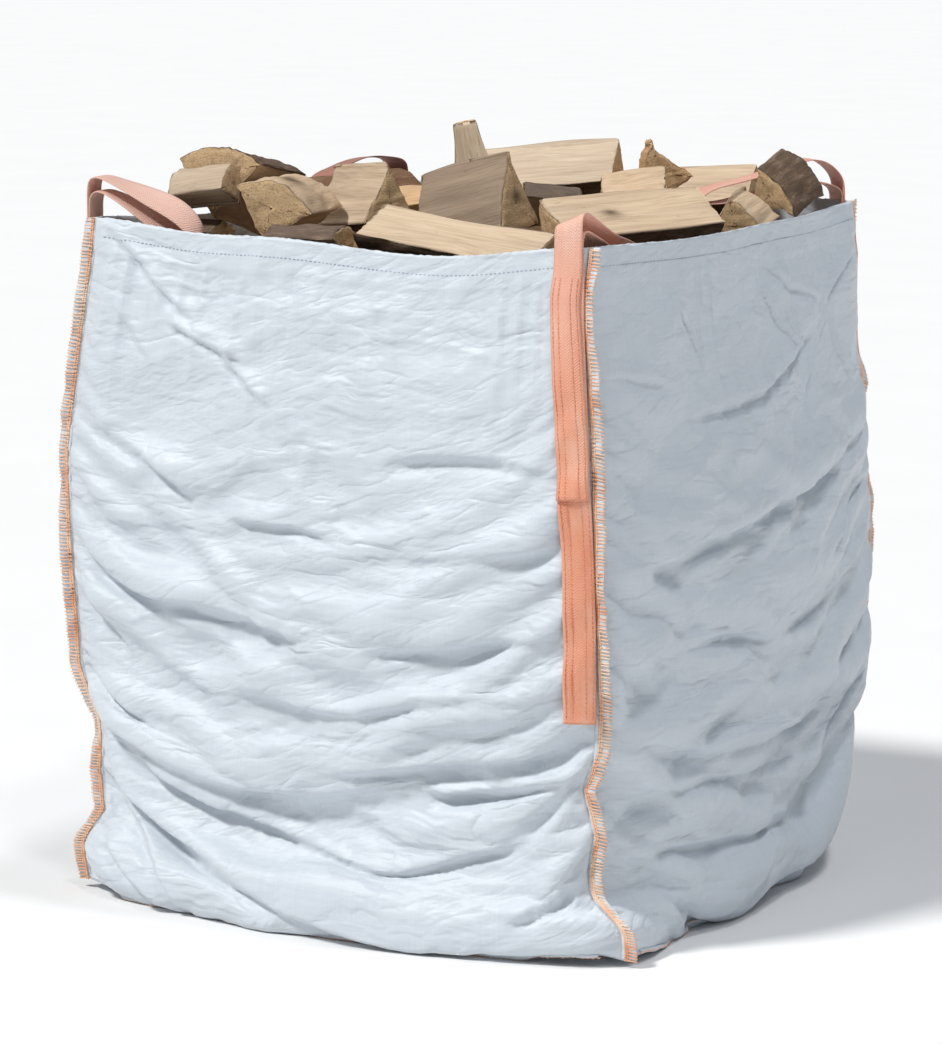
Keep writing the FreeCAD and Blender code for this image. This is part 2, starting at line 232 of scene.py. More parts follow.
def joined(shapes):
    """Several (points, faces) pairs as one."""
    points, faces, first = [], [], 0
    for p, f in shapes:
        points.append(p)
        faces.append(f + first)
        first += len(p)
    return np.concatenate(points), np.concatenate(faces)


def lattice(x, y, seed):
    """Where each place is in its square cell, and random values from -1 to 1 at the cell's four corners."""
    table = np.random.default_rng(seed).uniform(-1, 1, (64, 64))
    xi, yi = np.floor(x).astype(int), np.floor(y).astype(int)
    corners = [table[(yi + dy) % 64, (xi + dx) % 64] for dy in (0, 1) for dx in (0, 1)]
    return x - xi, y - yi, corners


def value_noise(x, y, seed):
    """Smooth noise from -1 to 1 at arrays of places, with features about one unit across."""
    fx, fy, (a, b, c, d) = lattice(x, y, seed)
    fx, fy = fx * fx * (3 - 2 * fx), fy * fy * (3 - 2 * fy)
    return (a * (1 - fx) + b * fx) * (1 - fy) + (c * (1 - fx) + d * fx) * fy


def facets(x, y, seed):
    """Flat three-sided facets with sharp edges, about one unit across, from -1 to 1."""
    fx, fy, (a, b, c, d) = lattice(x, y, seed)
    near = a + (b - a) * fx + (c - a) * fy
    far = d + (c - d) * (1 - fx) + (b - d) * (1 - fy)
    return np.where(fx + fy < 1, near, far)


def streak_noise(s, seed):
    """The same noise along a line."""
    return value_noise(s, np.zeros_like(s), seed)


# ---------------------------------------------------------------- material helpers

WHITE, BLACK = (1, 1, 1), (0, 0, 0)


class Nodes:
    """A short way to write a node material. Scales are features to the metre, and pitches are in metres."""

    def __init__(self, name):
        self.material = bpy.data.materials.new(name)
        self.material.use_nodes = True
        self.tree = self.material.node_tree
        self.shader = next(n for n in self.tree.nodes if n.type == "BSDF_PRINCIPLED")

    def put(self, value, socket):
        """Gives a socket its value, or links it where the value is another node's output."""
        if hasattr(value, "is_linked"):
            self.tree.links.new(value, socket)
        else:
            socket.default_value = (*value, 1) if socket.type == "RGBA" else value

    def add(self, kind, inputs=None, **settings):
        node = self.tree.nodes.new(kind)
        for key, value in settings.items():
            setattr(node, key, value)
        for key, value in (inputs or {}).items():
            self.put(value, node.inputs[key])
        return node

    def attribute(self, name):
        return self.add("ShaderNodeAttribute", attribute_name=name)

    def object_place(self):
        return self.add("ShaderNodeTexCoord").outputs["Object"]

    def split(self, vector):
        return self.add("ShaderNodeSeparateXYZ", {0: vector}).outputs

    def math(self, operation, a, b=0.0, c=0.0):
        return self.add("ShaderNodeMath", {0: a, 1: b, 2: c}, operation=operation).outputs[0]

    def times(self, a, b):
        return self.math("MULTIPLY", a, b)

    def plus(self, a, b):
        return self.math("ADD", a, b)

    def wave(self, value, pitch):
        return self.math("SINE", self.times(value, 2 * math.pi / pitch))

    def span(self, value, *limits):
        """A value brought from one range (low, high) to another."""
        return self.add("ShaderNodeMapRange", dict(enumerate((value, *limits)))).outputs[0]

    def scaled(self, vector, scale):
        return self.add("ShaderNodeVectorMath", {0: vector, 1: scale}, operation="MULTIPLY").outputs[0]

    def moved(self, vector, by):
        return self.add("ShaderNodeVectorMath", {0: vector, 1: by}, operation="ADD").outputs[0]

    def noise(self, vector, scale, detail=3.0, rough=0.55):
        """Noise of one scale, or of three, along X, Y and Z."""
        if isinstance(scale, tuple):
            vector, scale = self.scaled(vector, scale), 1.0
        inputs = {"Vector": vector, "Scale": scale, "Detail": detail, "Roughness": rough}
        return self.add("ShaderNodeTexNoise", inputs).outputs["Fac"]

    def ramp(self, value, *stops):
        node = self.add("ShaderNodeValToRGB", {"Fac": value})
        while len(node.color_ramp.elements) < len(stops):
            node.color_ramp.elements.new(0.5)
        for element, (place, color) in zip(node.color_ramp.elements, stops):
            element.position = place
            element.color = (*color, 1)
        return node.outputs["Color"]

    def step(self, value, low, high):
        return self.ramp(value, (low, BLACK), (high, WHITE))

    def mix(self, amount, a, b):
        return self.add("ShaderNodeMix", {0: amount, 6: a, 7: b}, data_type="RGBA").outputs[2]

    def tint(self, color, amount, share, other):
        """A colour mixed with another by that share of an amount."""
        return self.mix(self.times(amount, share), color, other)

    def bump(self, height, strength, distance, before=None):
        inputs = {"Height": height, "Strength": strength, "Distance": distance}
        if before is not None:
            inputs["Normal"] = before
        return self.add("ShaderNodeBump", inputs).outputs["Normal"]

    def finish(self, color, roughness, normal=None, **sockets):
        sockets = {"Base Color": color, "Roughness": roughness, **sockets}
        if normal is not None:
            sockets["Normal"] = normal
        for key, value in sockets.items():
            self.put(value, self.shader.inputs[key.replace("_", " ")])
        return self.material


def cloth_material():
    """Woven polypropylene tape: pale blue-white, a low sheen, a fine basket weave and pressed creases."""
    n = Nodes("woven_polypropylene")

    def folded(vector, depth, soft):
        """Narrow folds along the middle level of a noise."""
        level = n.math("ABSOLUTE", n.math("SUBTRACT", n.noise(vector, 1.0, 3.0, 0.5), 0.5))
        return n.math("SMOOTH_MIN", level, depth, soft)

    place = n.attribute("cloth").outputs["Vector"]
    across, down = n.split(place)[:2]
    basket = n.times(n.wave(across, 0.0029), n.wave(down, 0.0031))
    tapes = n.plus(n.noise(place, (260.0, 9.0, 1.0), 2.0), n.noise(place, (9.0, 240.0, 1.0), 2.0))
    patch = n.noise(place, (5.0, 7.0, 1.0))
    color = n.ramp(n.times(tapes, 0.5), (0.25, (0.585, 0.645, 0.705)), (0.75, (0.665, 0.715, 0.765)))
    color = n.tint(color, patch, 0.30, (0.56, 0.61, 0.67))
    cells = {"Vector": n.scaled(place, (9.0, 22.0, 1.0)), "Scale": 1.0}
    crumple = n.add("ShaderNodeTexVoronoi", cells, feature="DISTANCE_TO_EDGE").outputs["Distance"]
    crease = n.math("SMOOTH_MIN", n.times(crumple, 3.0), 0.5, 0.3)
    soft = n.noise(place, (14.0, 40.0, 1.0), 5.0, 0.6)
    wrinkle = folded(n.moved(n.scaled(place, (4.2, 15.0, 1.0)), patch), 0.11, 0.05)
    slant = n.add("ShaderNodeVectorRotate", {"Vector": place, "Angle": 0.35}).outputs[0]
    short = folded(n.scaled(slant, (7.0, 24.0, 1.0)), 0.09, 0.04)
    where = n.noise(place, (3.0, 6.0, 1.0), 2.0)
    wrinkle = n.times(wrinkle, n.span(where, 0.42, 0.60, 0.12, 1.0))
    short = n.times(short, n.span(where, 0.40, 0.62, 1.0, 0.15))
    normal = n.bump(soft, 0.45, 0.004)
    normal = n.bump(wrinkle, 0.9, 0.034, normal)
    normal = n.bump(short, 0.8, 0.020, normal)
    normal = n.bump(crease, 0.14, 0.004, normal)
    normal = n.bump(n.plus(basket, tapes), 0.13, 0.0005, normal)
    return n.finish(color, 0.46, normal, Specular_IOR_Level=0.42, Sheen_Weight=0.15, Sheen_Roughness=0.4)


def webbing_material():
    """Orange twill webbing in herringbone ribs, faded pink in places, with painted highlights on the ribs'
    crests and painted shade on loops that lie in shadow.
    """
    n = Nodes("orange_webbing")
    place = n.attribute("strap").outputs["Vector"]
    across, along = n.split(place)[:2]
    zigzag = n.math("PINGPONG", across, 0.006)
    rib = n.wave(n.plus(along, zigzag), 0.0042)
    cord = n.wave(across, 0.0016)
    fade = n.noise(place, (22.0, 9.0, 1.0), 4.0)
    fine = n.noise(place, (700.0, 420.0, 1.0), 2.0)
    # Painted highlight: the crests of the twill ribs are paler.
    lit = n.math("MAXIMUM", n.math("MULTIPLY_ADD", rib, 0.22, 0.20), 0.0)
    color = n.ramp(fade, (0.30, (0.86, 0.27, 0.14)), (0.52, (0.92, 0.38, 0.23)), (0.70, (0.97, 0.56, 0.42)))
    color = n.mix(lit, color, (0.96, 0.56, 0.40))
    color = n.tint(color, fine, 0.18, (0.55, 0.10, 0.04))
    color = n.tint(color, n.attribute("faded").outputs["Fac"], 0.8, (0.94, 0.70, 0.61))
    # Painted shade: the free part of a loop is tinted deep red-brown where it lies in shadow.
    color = n.tint(color, n.attribute("painted_shade").outputs["Fac"], 0.85, (0.22, 0.055, 0.035))
    normal = n.bump(n.plus(cord, fine), 0.25, 0.0004, n.bump(rib, 0.5, 0.0011))
    return n.finish(color, 0.62, normal, Specular_IOR_Level=0.35, Sheen_Weight=0.2, Sheen_Roughness=0.5)


def thread_material(name, dark, light):
    """Twisted thread."""
    n = Nodes(name)
    place = n.object_place()
    fibre = n.noise(n.scaled(place, (1.0, 1.0, 2.4)), 900.0, 2.0)
    color = n.ramp(n.noise(place, 18.0), (0.34, dark), (0.62, light))
    return n.finish(color, 0.7, n.bump(fibre, 0.5, 0.0006), Sheen_Weight=0.25)


def flat_wood(n, moved, grain, warm):
    """The colour of a log's split flats: long grain, stains and nicks."""
    pale = n.ramp(grain, (0.22, (0.44, 0.32, 0.21)), (0.42, (0.64, 0.51, 0.37)), (0.75, (0.78, 0.67, 0.52)))
    rich = n.ramp(grain, (0.25, (0.34, 0.16, 0.055)), (0.45, (0.56, 0.31, 0.13)), (0.75, (0.76, 0.50, 0.25)))
    stain = n.step(n.noise(moved, (30.0, 30.0, 4.0)), 0.45, 0.75)
    nick = n.step(n.noise(moved, (120.0, 120.0, 36.0), 5.0, 0.7), 0.66, 0.72)
    color = n.tint(n.mix(warm, pale, rich), stain, 0.45, (0.36, 0.26, 0.18))
    return n.tint(color, nick, 0.6, (0.16, 0.095, 0.055))


def end_wood(n, place, moved, speck, warm):
    """The colour of a log's sawn ends: rings round the heart, specks and blots."""
    px, py = n.split(place)[:2]
    radial = n.math("SQRT", n.plus(n.times(px, px), n.times(py, py)))
    wobble = n.noise(moved, (30.0, 30.0, 30.0), 2.0)
    ring = n.wave(n.math("MULTIPLY_ADD", wobble, 0.006, radial), 0.0046)
    tone = n.math("MULTIPLY_ADD", ring, 0.028, speck)
    color = n.ramp(tone, (0.30, (0.24, 0.14, 0.07)), (0.45, (0.55, 0.38, 0.21)), (0.72, (0.73, 0.56, 0.36)))
    blot = n.step(n.noise(moved, (42.0, 42.0, 42.0), 4.0, 0.65), 0.55, 0.68)
    color = n.tint(color, warm, 0.35, (0.50, 0.28, 0.11))
    return n.tint(color, blot, 0.45, (0.20, 0.12, 0.07))


def bark_wood(n, moved, flake, warm):
    """The colour of a log's bark: dark cracks between flakes, with grey moss."""
    brown = (0.52, (0.10, 0.062, 0.038))
    color = n.ramp(flake, (0.36, (0.020, 0.011, 0.007)), brown, (0.68, (0.34, 0.25, 0.175)))
    color = n.tint(color, n.noise(moved, (26.0, 26.0, 26.0)), 0.35, (0.23, 0.185, 0.135))
    return n.tint(color, warm, 0.45, (0.36, 0.155, 0.06))


def wood_material():
    """Split hardwood: long grain on the flats, rings on the ends, rough bark on the round side."""
    n = Nodes("split_wood")
    place = n.attribute("log").outputs["Vector"]
    factors = ("cut_end", "bark", "tone", "warm", "knot")
    is_end, bark_share, tone, warm, knot = (n.attribute(name).outputs["Fac"] for name in factors)
    moved = n.moved(place, n.attribute("shift").outputs["Vector"])
    grain = n.noise(moved, (430.0, 430.0, 9.0), 5.0, 0.6)
    speck = n.noise(moved, 380.0, 4.0, 0.7)
    flake = n.noise(moved, (85.0, 85.0, 22.0), 6.0, 0.72)
    edge = n.math("MULTIPLY_ADD", n.noise(moved, 150.0), 0.7, -0.35)
    is_bark = n.times(n.step(n.plus(bark_share, edge), 0.42, 0.56), n.math("SUBTRACT", 1.0, is_end))
    color = n.mix(is_end, flat_wood(n, moved, grain, warm), end_wood(n, place, moved, speck, warm))
    color = n.mix(is_bark, color, bark_wood(n, moved, flake, warm))
    color = n.tint(color, knot, 0.9, (0.07, 0.038, 0.020))
    grey = n.times(tone, n.math("MULTIPLY_ADD", is_end, -0.8, 1.05))
    color = n.mix(grey, color, (0.19, 0.155, 0.13))
    height = n.math("MULTIPLY_ADD", grain, 0.6, n.times(speck, 0.35))
    normal = n.bump(n.times(flake, is_bark), 0.9, 0.007, n.bump(height, 0.65, 0.0018))
    return n.finish(color, 0.82, normal, Specular_IOR_Level=0.22)


def buried_material():
    """The wood of the logs inside the load, which show only between those on top."""
    n = Nodes("buried_wood")
    grain = n.noise(n.object_place(), (40.0, 40.0, 90.0), 5.0)
    color = n.ramp(grain, (0.3, (0.12, 0.075, 0.045)), (0.7, (0.34, 0.24, 0.15)))
    return n.finish(color, 0.85, n.bump(grain, 0.6, 0.003))


def floor_material():
    n = Nodes("studio_floor")
    return n.finish(n.ramp(n.noise(n.object_place(), 2.0), (0.3, (0.83,) * 3), (0.7, (0.85,) * 3)), 0.9)


CLOTH_LOOK = cloth_material()
WEBBING_LOOK = webbing_material()
SEAM_LOOK = thread_material("seam_thread", (0.80, 0.36, 0.19), (0.92, 0.66, 0.48))
HEM_LOOK = thread_material("hem_thread", (0.22, 0.26, 0.33), (0.42, 0.47, 0.55))
STRAP_THREAD_LOOK = thread_material("strap_thread", (0.62, 0.16, 0.07), (0.88, 0.42, 0.27))
WOOD_LOOK = wood_material()
BURIED_LOOK = buried_material()


# ---------------------------------------------------------------- camera, light and floor

AZIMUTH = math.radians(28.9)
ELEVATION = math.radians(9.5)
DISTANCE = 6.57
LENS, SENSOR = 138.0, 36.0  # in millimetres
TARGET = (-0.018, 0.0, 0.573)
SPREAD = math.radians(8)  # how wide each light looks
WARM, COOL = (1.0, 0.985, 0.96), (0.95, 0.97, 1.0)
# Each light: its direction from the middle of the bag, its power and its colour.
SUNS = {
    "key": ((-1.5, -2.5, 4.4), 2.60, WARM),
    "top": ((1.15, 0.35, 5.0), 0.78, COOL),
    "side": ((1.6, -1.3, 3.6), 0.44, COOL),
}
SKY, SKY_STRENGTH = (0.90, 0.94, 1.0), 0.21
FLOOR_REACH = 40


def camera():
    data = bpy.data.cameras.new("camera")
    data.lens, data.sensor_width, data.clip_end = LENS, SENSOR, 100.0
    level = math.cos(ELEVATION)
    back = np.array([math.sin(AZIMUTH) * level, -math.cos(AZIMUTH) * level, math.sin(ELEVATION)])
    piece = in_scene("camera", data)
    piece.location = np.array(TARGET) + DISTANCE * back
    piece.rotation_euler = (math.pi / 2 - ELEVATION, 0, AZIMUTH)
    bpy.context.scene.camera = piece


def sun(name, place, power, color):
    """A broad distant light that shines from place towards the middle of the bag."""
    data = bpy.data.lights.new(name, "SUN")
    data.energy, data.angle, data.color = power, SPREAD, color
    ahead = unit(np.array([0, 0, 0.5]) - np.array(place, dtype=float))
    piece = in_scene(name, data)
    piece.location = place
    piece.rotation_euler = (math.acos(-ahead[2]), 0, math.atan2(ahead[1], ahead[0]) - math.pi / 2)


def studio():
    world = bpy.data.worlds.new("studio")
    world.use_nodes = True
    background = world.node_tree.nodes["Background"]
    background.inputs[0].default_value = (*SKY, 1)
    background.inputs[1].default_value = SKY_STRENGTH
    bpy.context.scene.world = world
    for name, light in SUNS.items():
        sun(name, *light)
    corners = [(x * FLOOR_REACH, y * FLOOR_REACH, 0) for x, y in ((-1, -1), (1, -1), (1, 1), (-1, 1))]
    floor = mesh_object("floor", corners, [(0, 1, 2, 3)], floor_material(), False)


camera()
studio()
bpy.context.scene.view_settings.view_transform = "Standard"

# ---------------------------------------------------------------- the form of the bag, read from the frame


SECTION_POINTS = 60  # a full section of the panel has at least as many points


def panel_levels():
    """Heights, half widths and bows of the bag's sections, read from the front panel."""
    points = mesh_points(frame["nodes"]["side_panel_front"].data)
    heights = np.unique(points[:, 2].round(3))
    rows = []
    for height in heights:
        level = points[np.abs(points[:, 2] - height) < 0.0006]
        half = np.abs(level[:, 0]).max()
        out = -level[:, 1].min()
        if len(level) >= SECTION_POINTS or height == heights[-1]:
            rows.append((height, half, out - half))
    return np.array(rows)


LEVELS = panel_levels()
RIM = LEVELS[-1, 0]
STEPS = np.linspace(0, RIM, 241)
HALVES, BOWS = (softened(np.interp(STEPS, LEVELS[:, 0], LEVELS[:, k]), bell(2, 31)) for k in (1, 2))

# How far each corner of the rim and of the foot is out of square, along X and Y, and up.
LEAN = {
    "front_left": ((0.006, 0.004, 0.010), (-0.034, -0.010, 0.016)),
    "front_right": ((-0.022, 0.000, 0.004), (0.054, -0.014, 0.012)),
    "back_right": ((0.004, 0.000, 0.006), (-0.060, -0.054, 0.036)),
    "back_left": ((0.000, -0.004, 0.006), (-0.006, 0.006, 0.018)),
}
# How far down each corner starts to lean towards its foot, as a share of the height.
FOOT_TURNS = {"front_left": 0.76, "front_right": 0.86, "back_right": 0.72, "back_left": 0.70}
FOOT_BULGES = (0.028, -0.010, 0.010, 0.010)  # how much further the foot of each panel bulges
# How far the rim sags below its corners across each panel: (place across, depth, spread).
SAGS = {
    "front": [(0.35, 0.020, 0.45), (-0.55, 0.006, 0.25)],
    "right": [(-0.2, 0.004, 0.5), (0.55, 0.003, 0.2)],
    "back": [(-0.1, -0.022, 0.55), (0.6, -0.006, 0.25)],
    "left": [(0.1, 0.012, 0.5)],
}
# How the corner seams wander, kinks included: (height, shift along X, shift along Y).
KINKS = {
    "front_left": [
        (1.0, 0.002, 0), (0.72, -0.004, 0), (0.44, 0.004, 0), (0.37, 0.002, 0), (0.29, 0.026, 0),
        (0.20, 0.018, 0), (0.13, 0.034, 0), (0.07, 0.002, 0),
    ],
    "front_right": [
        (1.0, -0.014, 0), (0.72, -0.020, 0), (0.45, -0.012, 0), (0.33, -0.012, 0), (0.27, -0.030, 0),
        (0.20, -0.010, 0), (0.10, -0.024, 0), (0.05, 0.004, 0),
    ],
    "back_right": [
        (1.0, 0.0, 0), (0.86, -0.010, -0.008), (0.72, -0.010, -0.006), (0.5, 0.002, 0.004),
        (0.33, 0.010, 0.006), (0.22, 0.006, 0.004), (0.10, 0.0, 0.0),
    ],
    "back_left": [
        (1.0, 0, 0), (0.7, -0.004, 0), (0.45, 0.006, 0), (0.30, -0.008, 0), (0.17, 0.010, 0), (0.09, 0, 0),
    ],
}
# Folds that the cloth is pressed into: each is a line in a panel's own units (across from -1 to 1 and down
# from 0 at the rim to 1 at the foot), its half width and its height. The cloth swells above the line and
# tucks in at it.
FRONT_FOLDS = [
    ([(-0.97, 0.00), (-0.81, 0.04), (-0.64, 0.09), (-0.50, 0.12)], 0.012, 0.008),
    ([(-0.66, 0.12), (-0.44, 0.15), (-0.27, 0.17)], 0.010, 0.008),
    ([(-0.44, 0.15), (-0.16, 0.235)], 0.008, 0.006),
    ([(-0.86, 0.11), (-0.66, 0.19)], 0.009, 0.005),
    ([(-0.98, 0.27), (-0.74, 0.30), (-0.58, 0.33), (-0.42, 0.37)], 0.020, 0.011),
    ([(-0.36, 0.385), (-0.08, 0.385), (0.10, 0.40)], 0.012, 0.007),
    ([(-1.00, 0.45), (-0.74, 0.50), (-0.44, 0.51), (-0.22, 0.525), (0.06, 0.545)], 0.024, 0.015),
    ([(-1.00, 0.47), (-0.82, 0.575), (-0.74, 0.62)], 0.010, 0.007),
    ([(0.20, 0.28), (0.55, 0.27), (0.92, 0.30)], 0.018, 0.007),
    ([(0.30, 0.42), (0.60, 0.40), (0.95, 0.39)], 0.020, 0.008),
    ([(0.14, 0.56), (0.46, 0.53), (0.90, 0.515)], 0.020, 0.009),
    ([(-0.30, 0.63), (0.10, 0.64), (0.45, 0.61), (0.85, 0.60)], 0.018, 0.008),
    ([(-1.00, 0.645), (-0.84, 0.665), (-0.62, 0.71)], 0.016, 0.014),
    ([(-0.94, 0.71), (-0.74, 0.735), (-0.34, 0.77), (0.03, 0.76)], 0.020, 0.016),
    ([(-0.78, 0.755), (-0.50, 0.80), (-0.30, 0.82), (0.06, 0.855)], 0.016, 0.015),
    (
        [
            (-0.96, 0.765), (-0.76, 0.83), (-0.44, 0.89), (-0.22, 0.925), (0.06, 0.955), (0.40, 0.968),
            (0.80, 0.965),
        ],
        0.022, 0.024,
    ),
    ([(-0.92, 0.82), (-0.74, 0.87), (-0.60, 0.93), (-0.53, 0.98)], 0.013, 0.012),
    ([(-0.88, 0.90), (-0.74, 0.94), (-0.55, 0.99)], 0.013, 0.012),
    ([(0.06, 0.735), (0.42, 0.71), (0.72, 0.695), (0.97, 0.68)], 0.013, 0.011),
    ([(0.36, 0.757), (0.68, 0.737), (0.97, 0.722)], 0.013, 0.014),
    ([(-0.10, 0.84), (0.25, 0.87), (0.55, 0.83), (0.80, 0.81)], 0.013, 0.010),
    ([(0.66, 0.93), (0.90, 0.885), (0.99, 0.86)], 0.014, 0.013),
]
RIGHT_FOLDS = [
    ([(-0.96, 0.165), (-0.60, 0.185)], 0.012, 0.006),
    ([(0.60, 0.135), (0.15, 0.205), (-0.10, 0.225), (-0.70, 0.235)], 0.016, 0.011),
    ([(0.66, 0.13), (0.50, 0.19), (0.25, 0.285)], 0.011, 0.008),
    ([(0.62, 0.12), (0.33, 0.085), (0.15, 0.04)], 0.010, 0.005),
    ([(0.68, 0.13), (0.74, 0.20), (0.88, 0.27)], 0.010, 0.005),
    ([(0.60, 0.125), (0.98, 0.05)], 0.013, 0.010),
    ([(0.10, 0.07), (0.22, 0.14), (0.40, 0.20)], 0.007, 0.005),
    ([(-0.55, 0.08), (-0.42, 0.13), (-0.35, 0.19)], 0.006, 0.004),
    ([(0.96, 0.30), (0.23, 0.365), (-0.53, 0.405), (-0.99, 0.45)], 0.030, 0.019),
    ([(0.97, 0.40), (0.68, 0.42), (0.52, 0.465), (0.34, 0.49)], 0.012, 0.010),
    ([(0.97, 0.46), (0.60, 0.53), (0.10, 0.56), (-0.40, 0.545), (-0.95, 0.55)], 0.022, 0.012),
    ([(0.97, 0.53), (0.60, 0.63), (0.27, 0.71)], 0.022, 0.017),
    ([(0.97, 0.63), (0.71, 0.69), (0.22, 0.72), (-0.26, 0.715), (-0.97, 0.68)], 0.020, 0.015),
    ([(0.97, 0.67), (0.53, 0.76), (0.20, 0.865)], 0.020, 0.019),
    ([(0.10, 0.77), (-0.30, 0.76), (-0.98, 0.75)], 0.014, 0.010),
    ([(0.97, 0.77), (0.90, 0.83), (0.46, 0.93), (-0.05, 0.955)], 0.020, 0.019),
    ([(0.30, 0.865), (-0.20, 0.855), (-0.94, 0.845)], 0.018, 0.016),
    ([(0.02, 0.86), (-0.16, 0.93), (-0.49, 0.96)], 0.012, 0.010),
    ([(0.20, 0.972), (-0.20, 0.975), (-0.67, 0.962)], 0.016, 0.014),
]
BACK_FOLDS = [
    ([(0.97, 0.02), (0.70, 0.08), (0.45, 0.13)], 0.013, 0.009),
    ([(-0.95, 0.20), (-0.40, 0.24), (0.10, 0.22)], 0.016, 0.009),
    ([(0.98, 0.34), (0.50, 0.38), (0.00, 0.44), (-0.40, 0.46)], 0.024, 0.014),
    ([(-0.98, 0.42), (-0.50, 0.47), (0.05, 0.53)], 0.018, 0.011),
    ([(0.98, 0.56), (0.35, 0.60), (-0.30, 0.61), (-0.90, 0.66)], 0.020, 0.014),
    ([(-0.97, 0.71), (-0.30, 0.76), (0.40, 0.73), (0.97, 0.70)], 0.018, 0.015),
    ([(0.97, 0.78), (0.55, 0.85), (0.05, 0.90)], 0.016, 0.013),
    ([(-0.95, 0.82), (-0.55, 0.89), (0.00, 0.95), (0.60, 0.965)], 0.020, 0.020),
]
LEFT_FOLDS = [
    ([(-0.96, 0.04), (-0.60, 0.11), (-0.35, 0.18)], 0.013, 0.009),
    ([(0.96, 0.22), (0.30, 0.26), (-0.30, 0.25)], 0.018, 0.010),
    ([(-0.98, 0.33), (-0.35, 0.40), (0.40, 0.42), (0.97, 0.47)], 0.026, 0.016),
    ([(0.98, 0.55), (0.45, 0.585), (-0.20, 0.57)], 0.018, 0.011),
    ([(-0.98, 0.62), (-0.30, 0.67), (0.50, 0.66), (0.98, 0.645)], 0.020, 0.015),
    ([(0.97, 0.74), (0.30, 0.79), (-0.50, 0.78), (-0.98, 0.76)], 0.018, 0.015),
    ([(-0.95, 0.86), (-0.10, 0.89), (0.75, 0.87)], 0.016, 0.013),
    ([(0.90, 0.95), (0.10, 0.97), (-0.85, 0.955)], 0.018, 0.018),
]
FOLDS = {"front": FRONT_FOLDS, "right": RIGHT_FOLDS, "back": BACK_FOLDS, "left": LEFT_FOLDS}


def turn(points, quarter):
    """Turns points by quarter turns about Z."""
    x, y, z = points[..., 0], points[..., 1], points[..., 2]
    for _ in range(quarter % 4):
        x, y = -y, x
    return np.stack([x, y, z], -1)


PANEL_WIDTH = 0.92  # across which the folds' lines are drawn, in metres


def nearest_on_path(x, y, path):
    """Each place's distance from a path, below 0 where it lies over the path, and how far along that is."""
    best = np.full(x.shape, 9.0)
    side, place = np.zeros_like(x), np.zeros_like(x)
    count = len(path) - 1
    for k in range(count):
        a, d = path[k], path[k + 1] - path[k]
        t = np.clip(((x - a[0]) * d[0] + (y - a[1]) * d[1]) / (d @ d), 0, 1)
        gx, gy = x - a[0] - t * d[0], y - a[1] - t * d[1]
        far = np.hypot(gx, gy)
        nearer = far < best
        best = np.where(nearer, far, best)
        side = np.where(nearer, far * np.where(gy > 0, 1.0, -1.0), side)
        place = np.where(nearer, (k + t) / count, place)
    return side, place


def fold_ridges(across, down, folds):
    """Height of the ridges at places on a panel; the cloth stands proud just above each fold's line."""
    half = PANEL_WIDTH / 2
    total = np.zeros_like(across)
    for line, spread, rise in folds:
        path = catmull(np.array(line), 10) * (half, RIM)
        side, place = nearest_on_path(across * half, down * RIM, path)
        fall = np.where(side < 0, 1.7 * spread, 0.34 * spread)
        swell = np.exp(-(np.abs(side / fall) ** 1.5))
        tuck = np.exp(-(np.abs((side - 0.8 * spread) / (0.55 * spread)) ** 1.5))
        fade = smoothstep(0, 0.20, place) * smoothstep(0, 0.30, 1 - place)
        fade = np.where((place <= 0) | (place >= 1), 0, fade)
        total += rise * fade * (swell - 0.6 * tuck)
    return total


def creases(u, v, seed, rise):
    """Many small folds and flats, mostly level, that rise to the right by that share, in patches.

    Noise is drawn with u and v scaled by how many of its features fit across half a panel and down it, and
    heights are in metres.
    """

    def sharp(x, y, number, power):
        """Narrow ridges along the middle level of a noise, from 0 to 1."""
        return (1 - np.abs(value_noise(x, y, seed + number))) ** power

    warped = v + 0.045 * value_noise(u * 1.9, v * 3.1, seed) - 0.05 * np.abs(u) ** 2 * (0.7 - v)
    slant, steep = warped + 0.10 * u, warped - 0.22 * u
    broad = value_noise(u * 1.6 + seed, warped * 10, seed + 1)
    long_folds = sharp(u * 2.3 + seed, warped * 19, 2, 5)
    short_folds = sharp(u * 4.2, slant * 34 + seed, 3, 4)
    cross_folds = sharp(u * 5.0, steep * 26 + seed, 4, 6)
    fine_folds = sharp(u * 9, slant * 70 - seed, 7, 5)
    patch = smoothstep(-0.5, 0.4, value_noise(u * 1.8, v * 5, seed + 5))
    other = smoothstep(-0.2, 0.6, value_noise(u * 2.1 + 7, v * 4, seed + 6))
    calm = smoothstep(0.0, 0.12, v) * (0.62 + 0.38 * smoothstep(0.3, 0.7, v))
    folds = 0.0030 * long_folds * patch + 0.0020 * short_folds + 0.0026 * cross_folds * other
    bent = 0.35 * value_noise(u * 2.2, v * 5, seed + 8)
    rising = warped + rise * u
    flats = 0.0155 * facets(u * 1.7 + 5 * rising + bent, rising * 10 + bent + seed, seed + 9)
    flats += 0.0058 * facets(u * 3.0 - 6 * rising - bent, rising * 21 + bent + seed, seed + 10)
    patches = smoothstep(-0.6, 0.3, value_noise(u * 3, v * 0 + seed, seed + 11))
    under_hem = smoothstep(0.03, 0.07, v) * hump(v, 0.19) * patches
    gathers = 0.0075 * under_hem * (sharp(u * 13 + 2 * v, v * 2.5, 12, 3) - 0.3)
    return calm * (0.0020 * broad + folds + flats + 0.0010 * fine_folds) + gathers


def panel_places(cells, rows):
    """Places on a panel, across from -1 to 1 and down from 0 to 1, with their height, half width and bow."""
    u, v = np.meshgrid(np.arange(cells) / cells * 2 - 1, np.linspace(0, 1, rows + 1))
    z = RIM * (1 - v)
    return u, v, z, np.interp(z, STEPS, HALVES), np.interp(z, STEPS, BOWS)


def bulging(bow, v, quarter):
    return bow + FOOT_BULGES[quarter] * smoothstep(0.80, 1.0, v)


